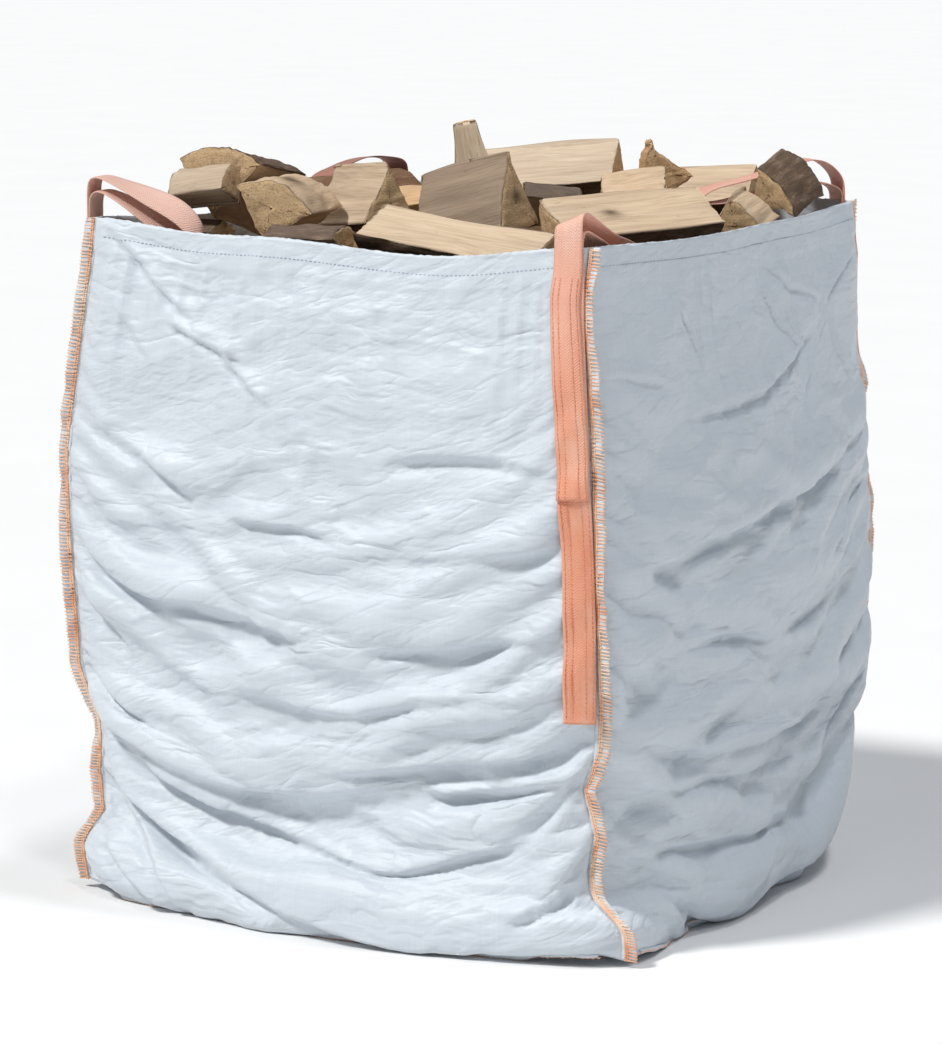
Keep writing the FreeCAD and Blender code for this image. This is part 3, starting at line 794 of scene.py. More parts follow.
def form(cells, rows):
    """The bag's unwrinkled side as a closed grid, with each point's place on its panel."""
    u, v, z, half, bow = panel_places(cells, rows)
    points = []
    for quarter, name in enumerate(PANELS):
        local = np.stack([half * u, -(half + bulging(bow, v, quarter) * (1 - u * u)), z], -1)
        sag = sum(depth * hump(u - middle, spread) for middle, depth, spread in SAGS[name])
        local[..., 2] -= sag * (1 - v) ** 2 * (1 - u**6)
        points.append(turn(local, quarter))
    points = np.concatenate(points, axis=1)
    columns = 4 * cells
    down = v[:, 0]
    for corner, name in enumerate(CORNERS):
        apart = (np.arange(columns) - corner * cells + columns // 2) % columns - columns // 2
        near = hump(apart, 0.16 * cells)[None, :, None]
        top, foot = (np.array(shift) for shift in LEAN[name])
        away = down[:, None, None]
        points += near * (top * (1 - away) ** 2 + foot * smoothstep(FOOT_TURNS[name], 1.0, away))
        heights, *shifts = np.array(KINKS[name][::-1]).T
        heights = np.concatenate([[0], heights, [RIM]])
        close = hump(apart, 0.055 * cells)
        for axis, shift in enumerate(shifts):
            wander = np.interp(RIM * (1 - down), heights, np.concatenate([[0], shift, [0]]))
            points[..., axis] += close[None, :] * wander[:, None]
    return points


def contents(cells, rows):
    """How far out the load and its ridges reach along each panel's own outward direction."""
    u, v, _, half, bow = panel_places(cells, rows)
    retreat = 0.030 * smoothstep(0.80, 1.0, np.abs(u))
    reach = []
    for quarter, name in enumerate(PANELS):
        lumps = 0.007 * value_noise(u * 3.1 + 11 * quarter, v * 7.0, 5)
        lumps = lumps + 0.003 * value_noise(u * 8, v * 15, 9 + quarter)
        ridges = fold_ridges(u, v, FOLDS[name])
        swollen = bulging(bow, v, quarter)
        reach.append(half + swollen * (1 - u * u) - 0.014 - retreat + lumps + 0.5 * ridges)
    return np.concatenate(reach, axis=1)


def links(start, rows, columns):
    """The cloth's threads as pairs of points: (first, second, rest length, share, which errors count)."""
    down = np.linspace(0, 1, rows + 1)
    slack_down = 0.015 + 0.035 * smoothstep(0.05, 0.45, down[:-1]) + 0.035 * smoothstep(0.55, 0.9, down[:-1])
    slack_around = 0.012 + 0.010 * smoothstep(0.7, 1.0, down)
    every_row, every_column = np.arange(rows + 1), np.arange(columns)
    right = np.linalg.norm(np.roll(start, -1, 1) - start, axis=-1) * (1 + slack_around[:, None])
    below = np.linalg.norm(start[1:] - start[:-1], axis=-1) * (1 + slack_down[:, None])
    found = []

    def add(rows_a, columns_a, row_step, column_step, rest, share, errors="both"):
        a = np.ix_(rows_a, columns_a)
        b = np.ix_(rows_a + row_step, (columns_a + column_step) % columns)
        found.append((a, b, rest[a], share, errors))

    for first in (0, 1):
        add(every_row, every_column[first::2], 0, 1, right, 1.0)
    for first in (0, 1):
        add(np.arange(first, rows, 2), every_column, 1, 0, below, 1.0)
    diagonal = np.sqrt(right[:-1] ** 2 + below**2)
    for first in (0, 1):
        for step in (-1, 1):
            add(np.arange(first, rows, 2), every_column, 1, step, diagonal, 0.25)
    for reach, share, least in ((2, 0.30, 0.985), (4, 0.16, 0.95)):
        spans = sum(below[k : rows - reach + 1 + k] for k in range(reach)) * least
        starts = np.arange(rows - reach + 1)
        for half in (0, 1):
            add(starts[(starts // reach) % 2 == half], every_column, reach, 0, spans, share, "short")
        around = sum(np.roll(right, -k, 1) for k in range(reach)) * least
        for half in (0, 1):
            own = every_column[(every_column // reach) % 2 == half]
            add(every_row, own, 0, reach, around, share, "short")
    return found


def pull(points, freedom, a, b, rest, share, errors):
    """Moves each pair of points towards its rest length."""
    pa, pb = points[a], points[b]
    gap = pb - pa
    length = np.sqrt((gap * gap).sum(-1)) + 1e-9
    error = (length - rest) / length
    if errors == "short":
        error = np.minimum(error, 0)
    fa, fb = freedom[a], freedom[b]
    move = (share * error / (fa + fb + 1e-9))[..., None] * gap
    points[a] = pa + fa[..., None] * move
    points[b] = pb - fb[..., None] * move


def press_out(points, reach, cells):
    """Keeps the cloth outside the load and above the floor."""
    for quarter, (axis, sign) in enumerate(((1, -1), (0, 1), (1, 1), (0, -1))):
        own = slice(quarter * cells, (quarter + 1) * cells)
        part = points[:, own]
        part[..., axis] = np.maximum(part[..., axis] * sign, reach[:, own]) * sign
    points[..., 2] = np.maximum(points[..., 2], FLOOR_GAP)


def relax(points, start, cells, rows, rounds, weight):
    """Settles the cloth: its threads keep their length, it hangs, and it rests on the load."""
    reach = contents(cells, rows)
    threads = links(start, rows, 4 * cells)
    freedom = np.ones(points.shape[:2])
    freedom[0] = freedom[-1] = freedom[:, ::cells] = 0
    points[:, ::cells] = start[:, ::cells]
    for _ in range(rounds):
        points[1:-1, :, 2] -= weight
        for thread in threads:
            pull(points, freedom, *thread)
        press_out(points[1:-1], reach[1:-1], cells)
        points[:, ::cells] = start[:, ::cells]
    return points


def finer(grid):
    """The grid with a point between every two, smooth in both directions; columns run round."""
    wide = np.concatenate([grid[:, -1:], grid, grid[:, :2]], axis=1)
    middle = (9 * (wide[:, 1:-2] + wide[:, 2:-1]) - wide[:, :-3] - wide[:, 3:]) / 16
    across = np.stack([grid, middle], 2).reshape(len(grid), -1, grid.shape[-1])
    tall = np.concatenate([2 * across[:1] - across[1:2], across, 2 * across[-1:] - across[-2:-1]])
    out = np.empty((2 * len(across) - 1, *across.shape[1:]))
    out[::2] = across
    out[1::2] = (9 * (tall[1:-2] + tall[2:-1]) - tall[:-3] - tall[3:]) / 16
    return out


def ring_normals(grid):
    around = np.roll(grid, -1, 1) - np.roll(grid, 1, 1)
    down = np.gradient(grid, axis=0)
    return unit(np.cross(down, around))


# How many rounds the coarse and the fine cloth settle for, when in a hurry and otherwise, and how far it
# sinks in each round.
COARSE_ROUNDS, COARSE_WEIGHT = (30, 420), 0.00005
FINE_ROUNDS, FINE_WEIGHT = (8, 220), 0.00002


def settled_cloth():
    """The wrinkled side of the bag, as a closed fine grid."""
    cells, rows = CELLS // 2, ROWS // 2
    coarse = form(cells, rows)
    rng = np.random.default_rng(3)
    cloth = coarse + ring_normals(coarse) * rng.uniform(0, 0.003, coarse.shape[:2])[..., None]
    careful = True
    cloth = relax(cloth, coarse, cells, rows, COARSE_ROUNDS[careful], COARSE_WEIGHT)
    start = form(CELLS, ROWS)
    cloth = start + finer(cloth - coarse)
    cloth = relax(cloth, start, CELLS, ROWS, FINE_ROUNDS[careful], FINE_WEIGHT)
    return pressed(finer(cloth))


PUSH_LIMIT = 0.026  # how far out the pressed folds stand at most
BULGE_START, BULGE_ROOM = 0.536, 0.030  # where the bulge starts to flatten, and how much further it goes
RISES = (0.01, 0.12, 0.02, -0.04)  # how steeply each panel's small folds rise to its right


def pressed(grid):
    """The settled cloth with its main folds and its small creases pressed in."""
    cells = grid.shape[1] // 4
    u, v = np.meshgrid(np.arange(cells) / cells * 2 - 1, np.linspace(0, 1, len(grid)))
    edge = 1 - np.abs(u) ** 8
    push = []
    for quarter, name in enumerate(PANELS):
        small = creases(u, v, 50 + 7 * quarter, RISES[quarter])
        push.append(edge * (1.25 * fold_ridges(u, v, FOLDS[name]) + 1.3 * small))
    outward = ring_normals(grid)
    for _ in range(2):
        outward = unit(outward + np.roll(outward, 3, 1) + np.roll(outward, -3, 1))
    push = np.concatenate(push, axis=1)
    push = np.where(push > 0, PUSH_LIMIT * np.tanh(push / PUSH_LIMIT), push)
    out = grid + outward * push[..., None]
    reach = np.abs(out[..., :2])
    held = BULGE_START + BULGE_ROOM * np.tanh((reach - BULGE_START) / BULGE_ROOM)
    out[..., :2] = np.sign(out[..., :2]) * np.where(reach > BULGE_START, held, reach)
    out[..., 2] = np.maximum(out[..., 2], FLOOR_GAP)
    return out


RING = settled_cloth()
CELLS_FINE = 2 * CELLS
NORMALS = ring_normals(RING)
# How far down the cloth each row is.
DROP = np.cumsum(np.concatenate([[0], np.linalg.norm(np.diff(RING, axis=0), axis=-1).mean(1)]))

# ---------------------------------------------------------------- cloth


def panel_part(grid, quarter):
    """One panel's part of the closed grid, with the corner lines at both ends."""
    return grid[:, (quarter * CELLS_FINE + np.arange(CELLS_FINE + 1)) % grid.shape[1]]


def side_cloth():
    for quarter, name in enumerate(PANELS):
        skin, normals = panel_part(RING, quarter), panel_part(NORMALS, quarter)
        u, drop = np.meshgrid(np.linspace(-1, 1, CELLS_FINE + 1), DROP)
        hem = 0.0020 * (1 - smoothstep(HEM, HEM + 0.004, drop + 0.0015 * np.sin(9 * u)))
        pucker = 0.0010 * value_noise(u * 46, drop * 12, 30 + quarter) * hump(drop - HEM, 0.035)
        fray = value_noise(u * 90, drop * 0 + quarter, 41)[0]
        outer = skin + normals * (hem + pucker)[..., None]
        outer[0, :, 2] += 0.0012 * fray
        rows, columns = u.shape
        place = flat_place(*np.meshgrid(np.linspace(-0.49, 0.49, columns), np.linspace(0, 1.17, rows)))
        place = place + (1.3 * quarter, 0, 0)
        shape = shell(outer, skin - normals * CLOTH)
        piece = on_bag("cloth_" + name, shape, CLOTH_LOOK, "woven_cloth", "side_panel_" + name, cloth=place)


def base_cloth():
    """The cloth under the load, stretched between the feet of the four panels."""
    front, right, back, left = (panel_part(RING, quarter)[-1, ::2] for quarter in range(4))
    back, left = back[::-1], left[::-1]
    s = np.linspace(0, 1, len(front))
    a, b = s[None, :, None], s[:, None, None]
    ruled = front[None] * (1 - b) + back[None] * b + left[:, None] * (1 - a) + right[:, None] * a
    near = front[0] * (1 - a) * (1 - b) + front[-1] * a * (1 - b)
    top = ruled - (near + back[0] * (1 - a) * b + back[-1] * a * b)
    top[..., 2] = np.maximum(top[..., 2], 0.0022)
    place = top.reshape(-1, 3) * (1, 1, 0) + (7, 0, 0)
    shape = shell(top, top - (0, 0, CLOTH))
    piece = on_bag("cloth_base", shape, CLOTH_LOOK, "woven_cloth", "base_panel", cloth=place)


side_cloth()
base_cloth()

# ---------------------------------------------------------------- seams


def dashes(places, along, lift, length, radius):
    """Short stitches at places: each rises out of the cloth, runs along and dips back."""
    shapes = []
    for place, ahead, up in zip(places, along, lift):
        half, rise = ahead * length / 2, up * radius
        line = [place + share * half + way * rise for share, way in ((-1, -1), (-0.6, 1), (0.6, 1), (1, -1))]
        shapes.append(tube(line, radius, 5))
    return joined(shapes)


def directions(run, raised=(0, 0, 0)):
    """A line's points, its directions along, and its directions out of the cloth, leant by raised."""
    return run[:, :3], heading(run[:, :3]), unit(run[:, 3:] + raised)


FIN_TURNS = {"back_right": 1.85}  # this corner's seam lies over towards the back, in radians


def fin_frame(corner):
    """A corner's line from rim to foot and the direction in which its seam stands out."""
    column = CORNERS.index(corner) * CELLS_FINE
    side = -1 if corner.endswith("left") else 1
    depth = -1 if corner.startswith("front") else 1
    slow, fast = (value_noise(DROP * scale, DROP * 0 + column, seed) for scale, seed in ((9, 61), (31, 62)))
    sway = slow * 0.45 + fast * 0.22 + FIN_TURNS.get(corner, 0.0)
    out = np.stack([side * np.cos(sway), depth * np.sin(sway), 0.12 * np.sin(sway * 5)], -1)
    return RING[:, column], unit(out)


def corner_seam(corner):
    """The raw edges of two panels sewn together, standing out as a fin with a ladder of thread over it."""
    line, out = fin_frame(corner)
    steps = np.linspace(-0.12, 1, 7)
    ragged = 1 + 0.05 * streak_noise(DROP * 60, 63 + len(corner))
    face = unit(np.cross(heading(line), out))
    wide = FIN_WIDTH * ragged[:, None] * steps[None, :]
    across, down = np.meshgrid(steps, DROP)
    ripple = 0.0011 * value_noise(down * 70, across * 2, 64)
    middle = line[:, None] + out[:, None] * wide[..., None] + face[:, None] * ripple[..., None]
    thick = FIN_THICKNESS / 2 * (1 - 0.45 * smoothstep(0.8, 1.0, steps))[None, :, None]
    shape = shell(middle + face[:, None] * thick, middle - face[:, None] * thick)
    node = "corner_seam_" + corner
    on_bag("seam_fin_" + corner, shape, CLOTH_LOOK, "woven_cloth", node, cloth=flat_place(wide + 11, down))
    ladder = joined(rungs(corner, line, out, face) + rails(line, out, face))
    on_bag("seam_thread_" + corner, ladder, SEAM_LOOK, "seam_thread", node)


FIN_HALF = FIN_THICKNESS / 2 + 0.0007  # how far from the fin's middle its threads lie
RUNG_PITCH, RUNG_RADIUS, RUNG_SAG = 0.0062, 0.00105, np.array([0, 0, -0.0022])


def rungs(corner, line, out, face):
    """The threads that cross a corner's fin from one side to the other over its edge."""
    rng = np.random.default_rng(70 + CORNERS.index(corner))
    at = np.arange(0.004, DROP[-1] - 0.003, RUNG_PITCH)
    at = at + rng.uniform(-0.0012, 0.0012, len(at))
    near = 0.18 * FIN_WIDTH
    shapes = []
    for p, o, f in sampled(at, DROP, np.concatenate([line, out, face], axis=1)).reshape(-1, 3, 3):
        far = FIN_WIDTH * (1.02 + 0.02 * rng.uniform(-1, 1))
        # Each step of the route: how far out along the fin, how far to its side, and how much it sags.
        steps = [(near, FIN_HALF, 0), (0.6 * far, FIN_HALF + 0.0005, 0.6), (far - 0.0006, 0.8 * FIN_HALF, 1)]
        back = [(reach, -aside, sag) for reach, aside, sag in steps[::-1]]
        steps = steps + [(far + 0.0009, 0, 1)] + back
        route = [p + o * reach + f * aside + RUNG_SAG * sag for reach, aside, sag in steps]
        shapes.append(tube(route, RUNG_RADIUS, 5))
    return shapes


def rails(line, out, face):
    """The twisted threads that run down both sides of a corner's fin."""
    pitch = 0.0016
    run = even_line(np.concatenate([line, out, face], axis=1), pitch)
    turns = 2 * math.pi * np.arange(len(run)) * pitch / RUNG_PITCH
    twist = 0.0008 * np.sin(turns)[:, None]
    shapes = []
    for side in (1, -1):
        for place, radius in ((0.20, 0.0019), (0.36, 0.0015)):
            lane = run[:, :3] + run[:, 3:6] * (FIN_WIDTH * place + twist) + side * run[:, 6:] * FIN_HALF
            shapes.append(tube(lane, radius * (1 + 0.22 * np.cos(2 * turns)), 6))
    return shapes


def foot_seam():
    """The base sewn to the panels: a rolled edge round the foot with stitches over it."""
    pitch = 0.004
    rolls, stitches = [], []
    for quarter in range(4):
        normals = panel_part(NORMALS, quarter)[-3, 6:-6]
        line = panel_part(RING, quarter)[-3, 6:-6] + normals * 0.0022
        line[:, 2] = np.maximum(line[:, 2], 0.0048)
        run = even_line(np.concatenate([line, normals], axis=1), pitch)
        lumps = streak_noise(np.arange(len(run)) * pitch * 40, 80 + quarter)
        rolls.append(tube(run[:, :3], 0.0036 + 0.0006 * lumps, 8))
        places, along, lift = directions(run[::2], (0, 0, 0.5))
        stitches.append(dashes(places + lift * 0.0034, along, lift, 0.0056, 0.0009))
    roll = joined(rolls)
    place = roll[0] * (1, 0, 1) + (13, 0, 0)
    on_bag("base_seam_roll", roll, CLOTH_LOOK, "woven_cloth", "base_seam_strips", cloth=place)
    on_bag("base_seam_thread", joined(stitches), SEAM_LOOK, "seam_thread", "base_seam_strips")


def hem_stitches():
    """The chain stitch that holds the folded hem."""
    shapes = []
    row = np.interp(STITCH_DROP, DROP, np.arange(len(DROP)))
    low, mix = int(row), row - int(row)
    for quarter in range(4):
        part, normals = panel_part(RING, quarter), panel_part(NORMALS, quarter)
        line = part[low] * (1 - mix) + part[low + 1] * mix
        run = even_line(np.concatenate([line, normals[low]], axis=1)[5:-5], 0.0074)
        places, along, lift = directions(run)
        places = places + lift * 0.0014
        places[:, 2] += 0.0012 * streak_noise(np.arange(len(run)) / 17.0, 90 + quarter)
        shapes.append(dashes(places, along, lift, 0.0046, 0.0008))
    on_bag("hem_thread", joined(shapes), HEM_LOOK, "hem_thread", "hem_stitching")


for corner_name in CORNERS:
    corner_seam(corner_name)
foot_seam()
hem_stitches()

# ---------------------------------------------------------------- webbing

# Each loop: the panel its legs are sewn to, which end of that panel, the way it lies as an angle from +X, how
# far its band rolls over sideways at its far end, in degrees, how far it has slipped along its fold line, how
# faded it is, how much painted shade darkens its free part where it lies in shadow, and the route of its
# webbing from the fold line, in metres (inwards, up).
LOOPS = {
    "front_right": (
        "front", 1, 90.0, -10, -0.022, 0.45, 0.0,
        [
            (0.000, 0.030), (0.003, 0.038), (0.050, 0.026), (0.150, -0.012), (0.262, -0.042), (0.268, -0.072),
            (0.170, -0.056), (0.080, -0.006), (0.012, 0.018), (0, 0.010),
        ],
    ),
    "front_left": (
        "left", 1, 6.0, 42, 0.0, 0.8, 0.15,
        [
            (0.000, 0.056), (0.006, 0.068), (0.050, 0.054), (0.110, 0.030), (0.168, 0.000), (0.190, -0.040),
            (0.166, -0.046), (0.100, 0.002), (0.050, 0.030), (0.010, 0.046), (0, 0.036),
        ],
    ),
    "back_left": (
        "back", 1, -90.0, 10, 0.0, 0.0, 0.85,
        [
            (0, 0.034), (0.060, 0.042), (0.150, 0.044), (0.268, 0.022), (0.274, -0.006),
            (0.160, 0.010), (0.070, 0.014), (0, 0.016),
        ],
    ),
    "back_right": (
        "back", -1, -128.0, 0, 0.0, 0.1, 0.2,
        [
            (0, 0.040), (0.048, 0.072), (0.130, 0.046), (0.262, 0.018), (0.268, -0.008),
            (0.140, 0.012), (0.060, 0.032), (0, 0.020),
        ],
    ),
}
INSET = 0.006  # how far a strap's outer edge lies in from its corner
INSETS = {("front", 1): -0.003}  # and where it isn't that far
CRESTS = {"front_right": 0.45}  # how much higher one edge of a loop stands than the other at the rim
LEG_PITCH = 0.0016
LEG_TOP = 0.030  # how far below the fold line the legs start
LEG_ROWS = 90
STRAP_GAP = 0.0030  # from the cloth to the middle of the inner leg
LONG_FOOT, SHORT_FOOT = 0.372, 0.712
INSIDE = 0.425  # nearer the middle than this, a strap lies over the load
LANES = np.linspace(-0.5, 0.5, STRAP_LANES) * STRAP_WIDTH
UP = np.array([0, 0, 1.0])


def loop_axes(panel, angle):
    """The way a loop lies, and the way from lane to lane across it, which is the same on its panel."""
    ahead = np.array([math.cos(angle), math.sin(angle), 0])
    axis = np.array([math.sin(angle), -math.cos(angle), 0])
    tangent = turn(np.array([1.0, 0, 0]), PANELS.index(panel))
    return ahead, axis if tangent @ axis > 0 else -axis


def cloth_reach(skin, levels, middle):
    """How far out the cloth stands under each lane of a strap at each level, softened."""
    reach = np.zeros((LEG_ROWS, STRAP_LANES))
    for i, level in enumerate(levels):
        close = skin[np.abs(skin[..., 2] - level) < 0.011]
        for k, lane in enumerate(LANES):
            near = close[np.abs(close[:, 0] - middle[i] - lane) < 0.010]
            reach[i, k] = -near[:, 1].min() if len(near) else np.nan
    bad = np.isnan(reach)
    if bad.any():
        reach[bad] = np.interp(np.flatnonzero(bad), np.flatnonzero(~bad), reach[~bad])
    for direction, weights in ((0, bell(1.5, 13)), (1, np.full(5, 0.2))):
        reach = np.apply_along_axis(softened, direction, reach, weights)
    return reach


def leg(panel, side, fold, axes, foot, layer):
    """A strap's leg from the fold line to its foot, as a grid of points that bridges the cloth's folds."""
    quarter = PANELS.index(panel)
    skin = turn(panel_part(RING, quarter), -quarter % 4)
    corner = skin[:, -1 if side > 0 else 0]
    corner = corner[np.argsort(corner[:, 2])]
    top = fold[2] - LEG_TOP
    levels = np.linspace(top, foot, LEG_ROWS)
    edge = softened(np.interp(levels, corner[:, 2], corner[:, 0] * side), bell(2, 21))
    askew = 0.005 * (layer - 1) * smoothstep(foot, fold[2], levels)
    middle = side * (edge - STRAP_WIDTH / 2 - INSETS.get((panel, side), INSET) - askew)
    out = cloth_reach(skin, levels, middle) + STRAP_GAP + (layer - 1) * (STRAP_THICKNESS + 0.0006)
    grid = np.stack([middle[:, None] + LANES, -out, np.repeat(levels[:, None], STRAP_LANES, 1)], -1)
    ahead, axis = axes
    straight = fold + LANES[:, None] * axis + ahead * (LEG_PITCH if layer == 1 else -LEG_PITCH)
    straight = np.repeat(straight[None], LEG_ROWS, 0)
    straight[..., 2] = levels[:, None]
    share = 0.6 * (1 - smoothstep(0, 0.05, top - levels))[:, None, None]
    return turn(grid, quarter) * (1 - share) + straight * share


def chaikin(points, rounds=3):
    """A line with its corners cut that many times."""
    points = np.asarray(points, dtype=float)
    for _ in range(rounds):
        a = points[:-1] * 0.75 + points[1:] * 0.25
        b = points[:-1] * 0.25 + points[1:] * 0.75
        middle = np.stack([a, b], 1).reshape(-1, points.shape[1])
        points = np.concatenate([points[:1], middle, points[-1:]])
    return points


CROWN = (LANES / STRAP_WIDTH * 2) ** 2  # 0 at a strap's middle and 1 at its edges


def loop_grid(corner, fold, axes, roll, route):
    """The free part of a strap as a grid of points: along its route, rolled sideways, with curled edges."""
    ahead, axis = axes
    path = [(LEG_PITCH, -0.016), (LEG_PITCH, 0.0), (LEG_PITCH, route[-1][1]), *route[-2:0:-1]]
    path += [(-LEG_PITCH, route[0][1]), (-LEG_PITCH, 0.0), (-LEG_PITCH, -0.016)]
    path = even_line(chaikin(path), 0.006)
    inwards, height = path[:, 0], path[:, 1]
    curl = 0.0016 * streak_noise(np.arange(len(path)) / 8.0, 101 + len(corner))
    tip = math.radians(roll) * smoothstep(0.01, 0.16, inwards)
    level, rise = np.cos(tip)[:, None, None], np.sin(tip)[:, None, None]
    toward = 1.0 if axis[1] < 0 else -1.0
    loop = fold + path[:, :1, None] * ahead + LANES[None, :, None] * (axis * level - UP * rise * toward)
    loop = loop + UP * (path[:, 1:, None] + curl[:, None, None] * CROWN[None, :, None])
    crest = CRESTS.get(corner, 0.0) * hump(inwards, 0.06) * smoothstep(0.0, 0.035, height)
    return loop + UP * (crest[:, None] * LANES[None, :])[..., None]


def evened(grid, pitch):
    """A strap's grid smoothed along it and with its rows that far apart, and the distance run at each row."""
    wide = np.pad(grid, ((3, 3), (0, 0), (0, 0)), mode="edge")
    grid = sum(weight * wide[k : k + len(grid)] for k, weight in enumerate(bell(1.6, 7)))
    run = distance_run(grid.mean(1))
    at = np.linspace(0, run[-1], int(run[-1] / pitch))
    return sampled(at, run, grid.reshape(len(grid), -1)).reshape(len(at), -1, 3), at


def strap(corner):
    """One strap: up the long leg, over the load as the loop and back down the short leg."""
    panel, side, bearing, roll, slip, faded, painted_shade, route = LOOPS[corner]
    hinge = next(j for j in frame["joints"] if j["child"] == "loop_" + corner)
    fold = np.array(hinge["pos_m"], dtype=float) + slip * np.array(hinge["axis"], dtype=float)
    axes = loop_axes(panel, math.radians(bearing))
    inner = leg(panel, side, fold, axes, LONG_FOOT, 1)
    outer = leg(panel, side, fold, axes, SHORT_FOOT, 2)
    grid = np.concatenate([inner[::-1], loop_grid(corner, fold, axes, roll, route), outer])
    grid, at = evened(grid, 0.005)
    face = unit(np.cross(heading(grid), heading(grid, 1)))
    slim = STRAP_THICKNESS / 2 * (1 - 0.35 * CROWN**3)[None, :, None]
    piece = mesh_object("webbing_" + corner, *shell(grid + face * slim, grid - face * slim), WEBBING_LOOK)
    u, v = np.meshgrid(LANES, at + 3.1 * len(corner))
    # How high each row is, and well above the rim where it lies over the load.
    middle = grid.mean(1)
    height = np.where(np.abs(middle[:, :2]).max(1) < INSIDE, RIM + 0.1, middle[:, 2])
    free = smoothstep(RIM - 0.02, RIM + 0.03, height)
    worn = np.maximum(free * faded, 0.4 * smoothstep(RIM - 0.34, RIM, height))
    put_attribute(piece, "strap", flat_place(u, v))
    put_attribute(piece, "faded", np.repeat(worn, STRAP_LANES))
    # Painted shade on the free part of each loop, stronger on the loops that lie in shadow.
    put_attribute(piece, "painted_shade", np.repeat(free * painted_shade, STRAP_LANES))
    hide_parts("webbing_long_leg_" + corner, "webbing_short_leg_" + corner, "lift_loop_" + corner)
    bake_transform(piece)
    strap_stitches(corner, inner, outer)


def strap_stitches(corner, inner, outer):
    """Rows of stitches that hold the legs to the panel."""
    shapes = []
    for part in (inner[44:88], outer[6:88]):
        face = unit(np.cross(heading(part, 1), heading(part)))
        if (face.mean((0, 1)) * (part.mean((0, 1)) * (1, 1, 0))).sum() < 0:
            face = -face
        for lane in (1, 3, 7, 9):
            run = even_line(np.concatenate([part[:, lane], face[:, lane]], axis=1), 0.0072)
            places, along, lift = directions(run)
            places = places + lift * (STRAP_THICKNESS / 2 + 0.0002)
            shapes.append(dashes(places, along, lift, 0.0050, 0.00065))
    on_bag("webbing_thread_" + corner, joined(shapes), STRAP_THREAD_LOOK, "webbing")


for corner_name in LOOPS:
    strap(corner_name)

# ---------------------------------------------------------------- firewood


def log_frames(node):
    """Every split log in a CAD node, as one_frame gives it."""
    mesh = frame["nodes"][node].data
    mesh.calc_loop_triangles()
    corners = np.empty(len(mesh.loop_triangles) * 3, dtype=np.int32)
    mesh.loop_triangles.foreach_get("vertices", corners)
    found, same = np.unique(mesh_points(mesh).round(5), axis=0, return_inverse=True)
    tris = same.reshape(-1)[corners.reshape(-1, 3)]
    island = np.arange(len(found))
    while True:
        least = island[tris].min(1)
        before = island.copy()
        for k in range(3):
            np.minimum.at(island, tris[:, k], least)
        if (before == island).all():
            break
    owner = island[tris[:, 0]]
    return [one_frame(found, tris[owner == label]) for label in np.unique(owner)]


def one_frame(points, tris):
    """One log from its triangles: its heart line's middle, three directions, radius, angle and length."""
    a, b, c = (points[tris[:, k]] for k in range(3))
    cross = np.cross(b - a, c - a)
    area = np.linalg.norm(cross, axis=1)
    keep = area > 1e-9
    tris, cross, area = tris[keep], cross[keep], area[keep]
    normals = cross / area[:, None]
    # The sawn ends are the two flat faces of the same area that look away from each other.
    best = None
    for normal in normals:
        facing = (normals @ normal) > 0.9998
        away = (normals @ normal) < -0.9998
        one, other = area[facing].sum(), area[away].sum()
        if other <= 0:
            continue
        miss = abs(one - other) / (one + other) - 0.001 * facing.sum()
        if best is None or miss < best[0]:
            best = (miss, normal, facing, away)
    _, axis, facing, away = best
    near = points[np.unique(tris[facing])]
    far = points[np.unique(tris[away])]
    length = float((near @ axis).mean() - (far @ axis).mean())
    # The heart is the corner from which all the others are equally far.
    spreads = []
    for i, point in enumerate(near):
        gaps = np.linalg.norm(np.delete(near, i, 0) - point, axis=1)
        spreads.append(gaps.max() - gaps.min())
    first = int(np.argmin(spreads))
    heart = near[first]
    rim = np.delete(near, first, 0) - heart
    radius = float(np.linalg.norm(rim, axis=1).mean())
    rays = unit(rim)
    dots = rays @ rays.T
    i, j = np.unravel_index(np.argmin(dots), dots.shape)
    up = unit(rays[i] + rays[j])
    angle = float(np.arccos(np.clip(dots[i, j], -1, 1)))
    return heart - axis * length / 2, np.cross(up, axis), up, axis, radius, angle, length


FLAT_STEPS, BARK_STEPS = 22, 26  # points on each split flat and on the bark of a log's outline
LOG_PITCH = 0.005
CAP_RINGS = 9


def section(radius, angle):
    """A split log's outline from its heart: places, outward directions, how much is bark, distance run."""
    lean = angle / 2
    left = np.array([-math.sin(lean), math.cos(lean)]) * radius
    right = np.array([math.sin(lean), math.cos(lean)]) * radius
    t = np.linspace(0, 1, FLAT_STEPS, endpoint=False)[:, None]
    turn_by = np.linspace(lean, -lean, BARK_STEPS, endpoint=False)[:, None]
    arc = np.concatenate([np.sin(turn_by), np.cos(turn_by)], 1) * radius
    places = np.concatenate([right * t, arc, left * (1 - t)])
    bark = np.concatenate([np.zeros(FLAT_STEPS), np.ones(BARK_STEPS), np.zeros(FLAT_STEPS)])
    ahead = np.roll(places, -1, 0) - np.roll(places, 1, 0)
    out = unit(np.stack([ahead[:, 1], -ahead[:, 0]], -1))
    return places, out, bark, distance_run(places)


def surface(zz, rr, shift, seed, rough, bark):
    """How far a log's torn flats and its bark stand out, at distances along it and round its outline."""

    def layer(rise, x, y, number):
        return rise * value_noise(x, y, seed + number)

    fibre = layer(0.0011, rr * 210 + shift[0], zz * 12, 1) + layer(0.0026, rr * 62 + shift[1], zz * 5, 2)
    wave = layer(0.0046, rr * 17 + shift[2], zz * 7 + shift[0], 3)
    ridges = np.abs(layer(0.0034, rr * 85 + shift[3], zz * 16, 4))
    ridges = ridges + layer(0.0028, rr * 36, zz * 30 + shift[1], 5)
    return rough * (fibre + wave) * (1 - bark)[None, :] + (ridges - 0.001) * bark[None, :]


def stronger(knots, far, size):
    """The darkness of knots with another one added, at distances from its middle."""
    return np.maximum(knots, hump(far, size))


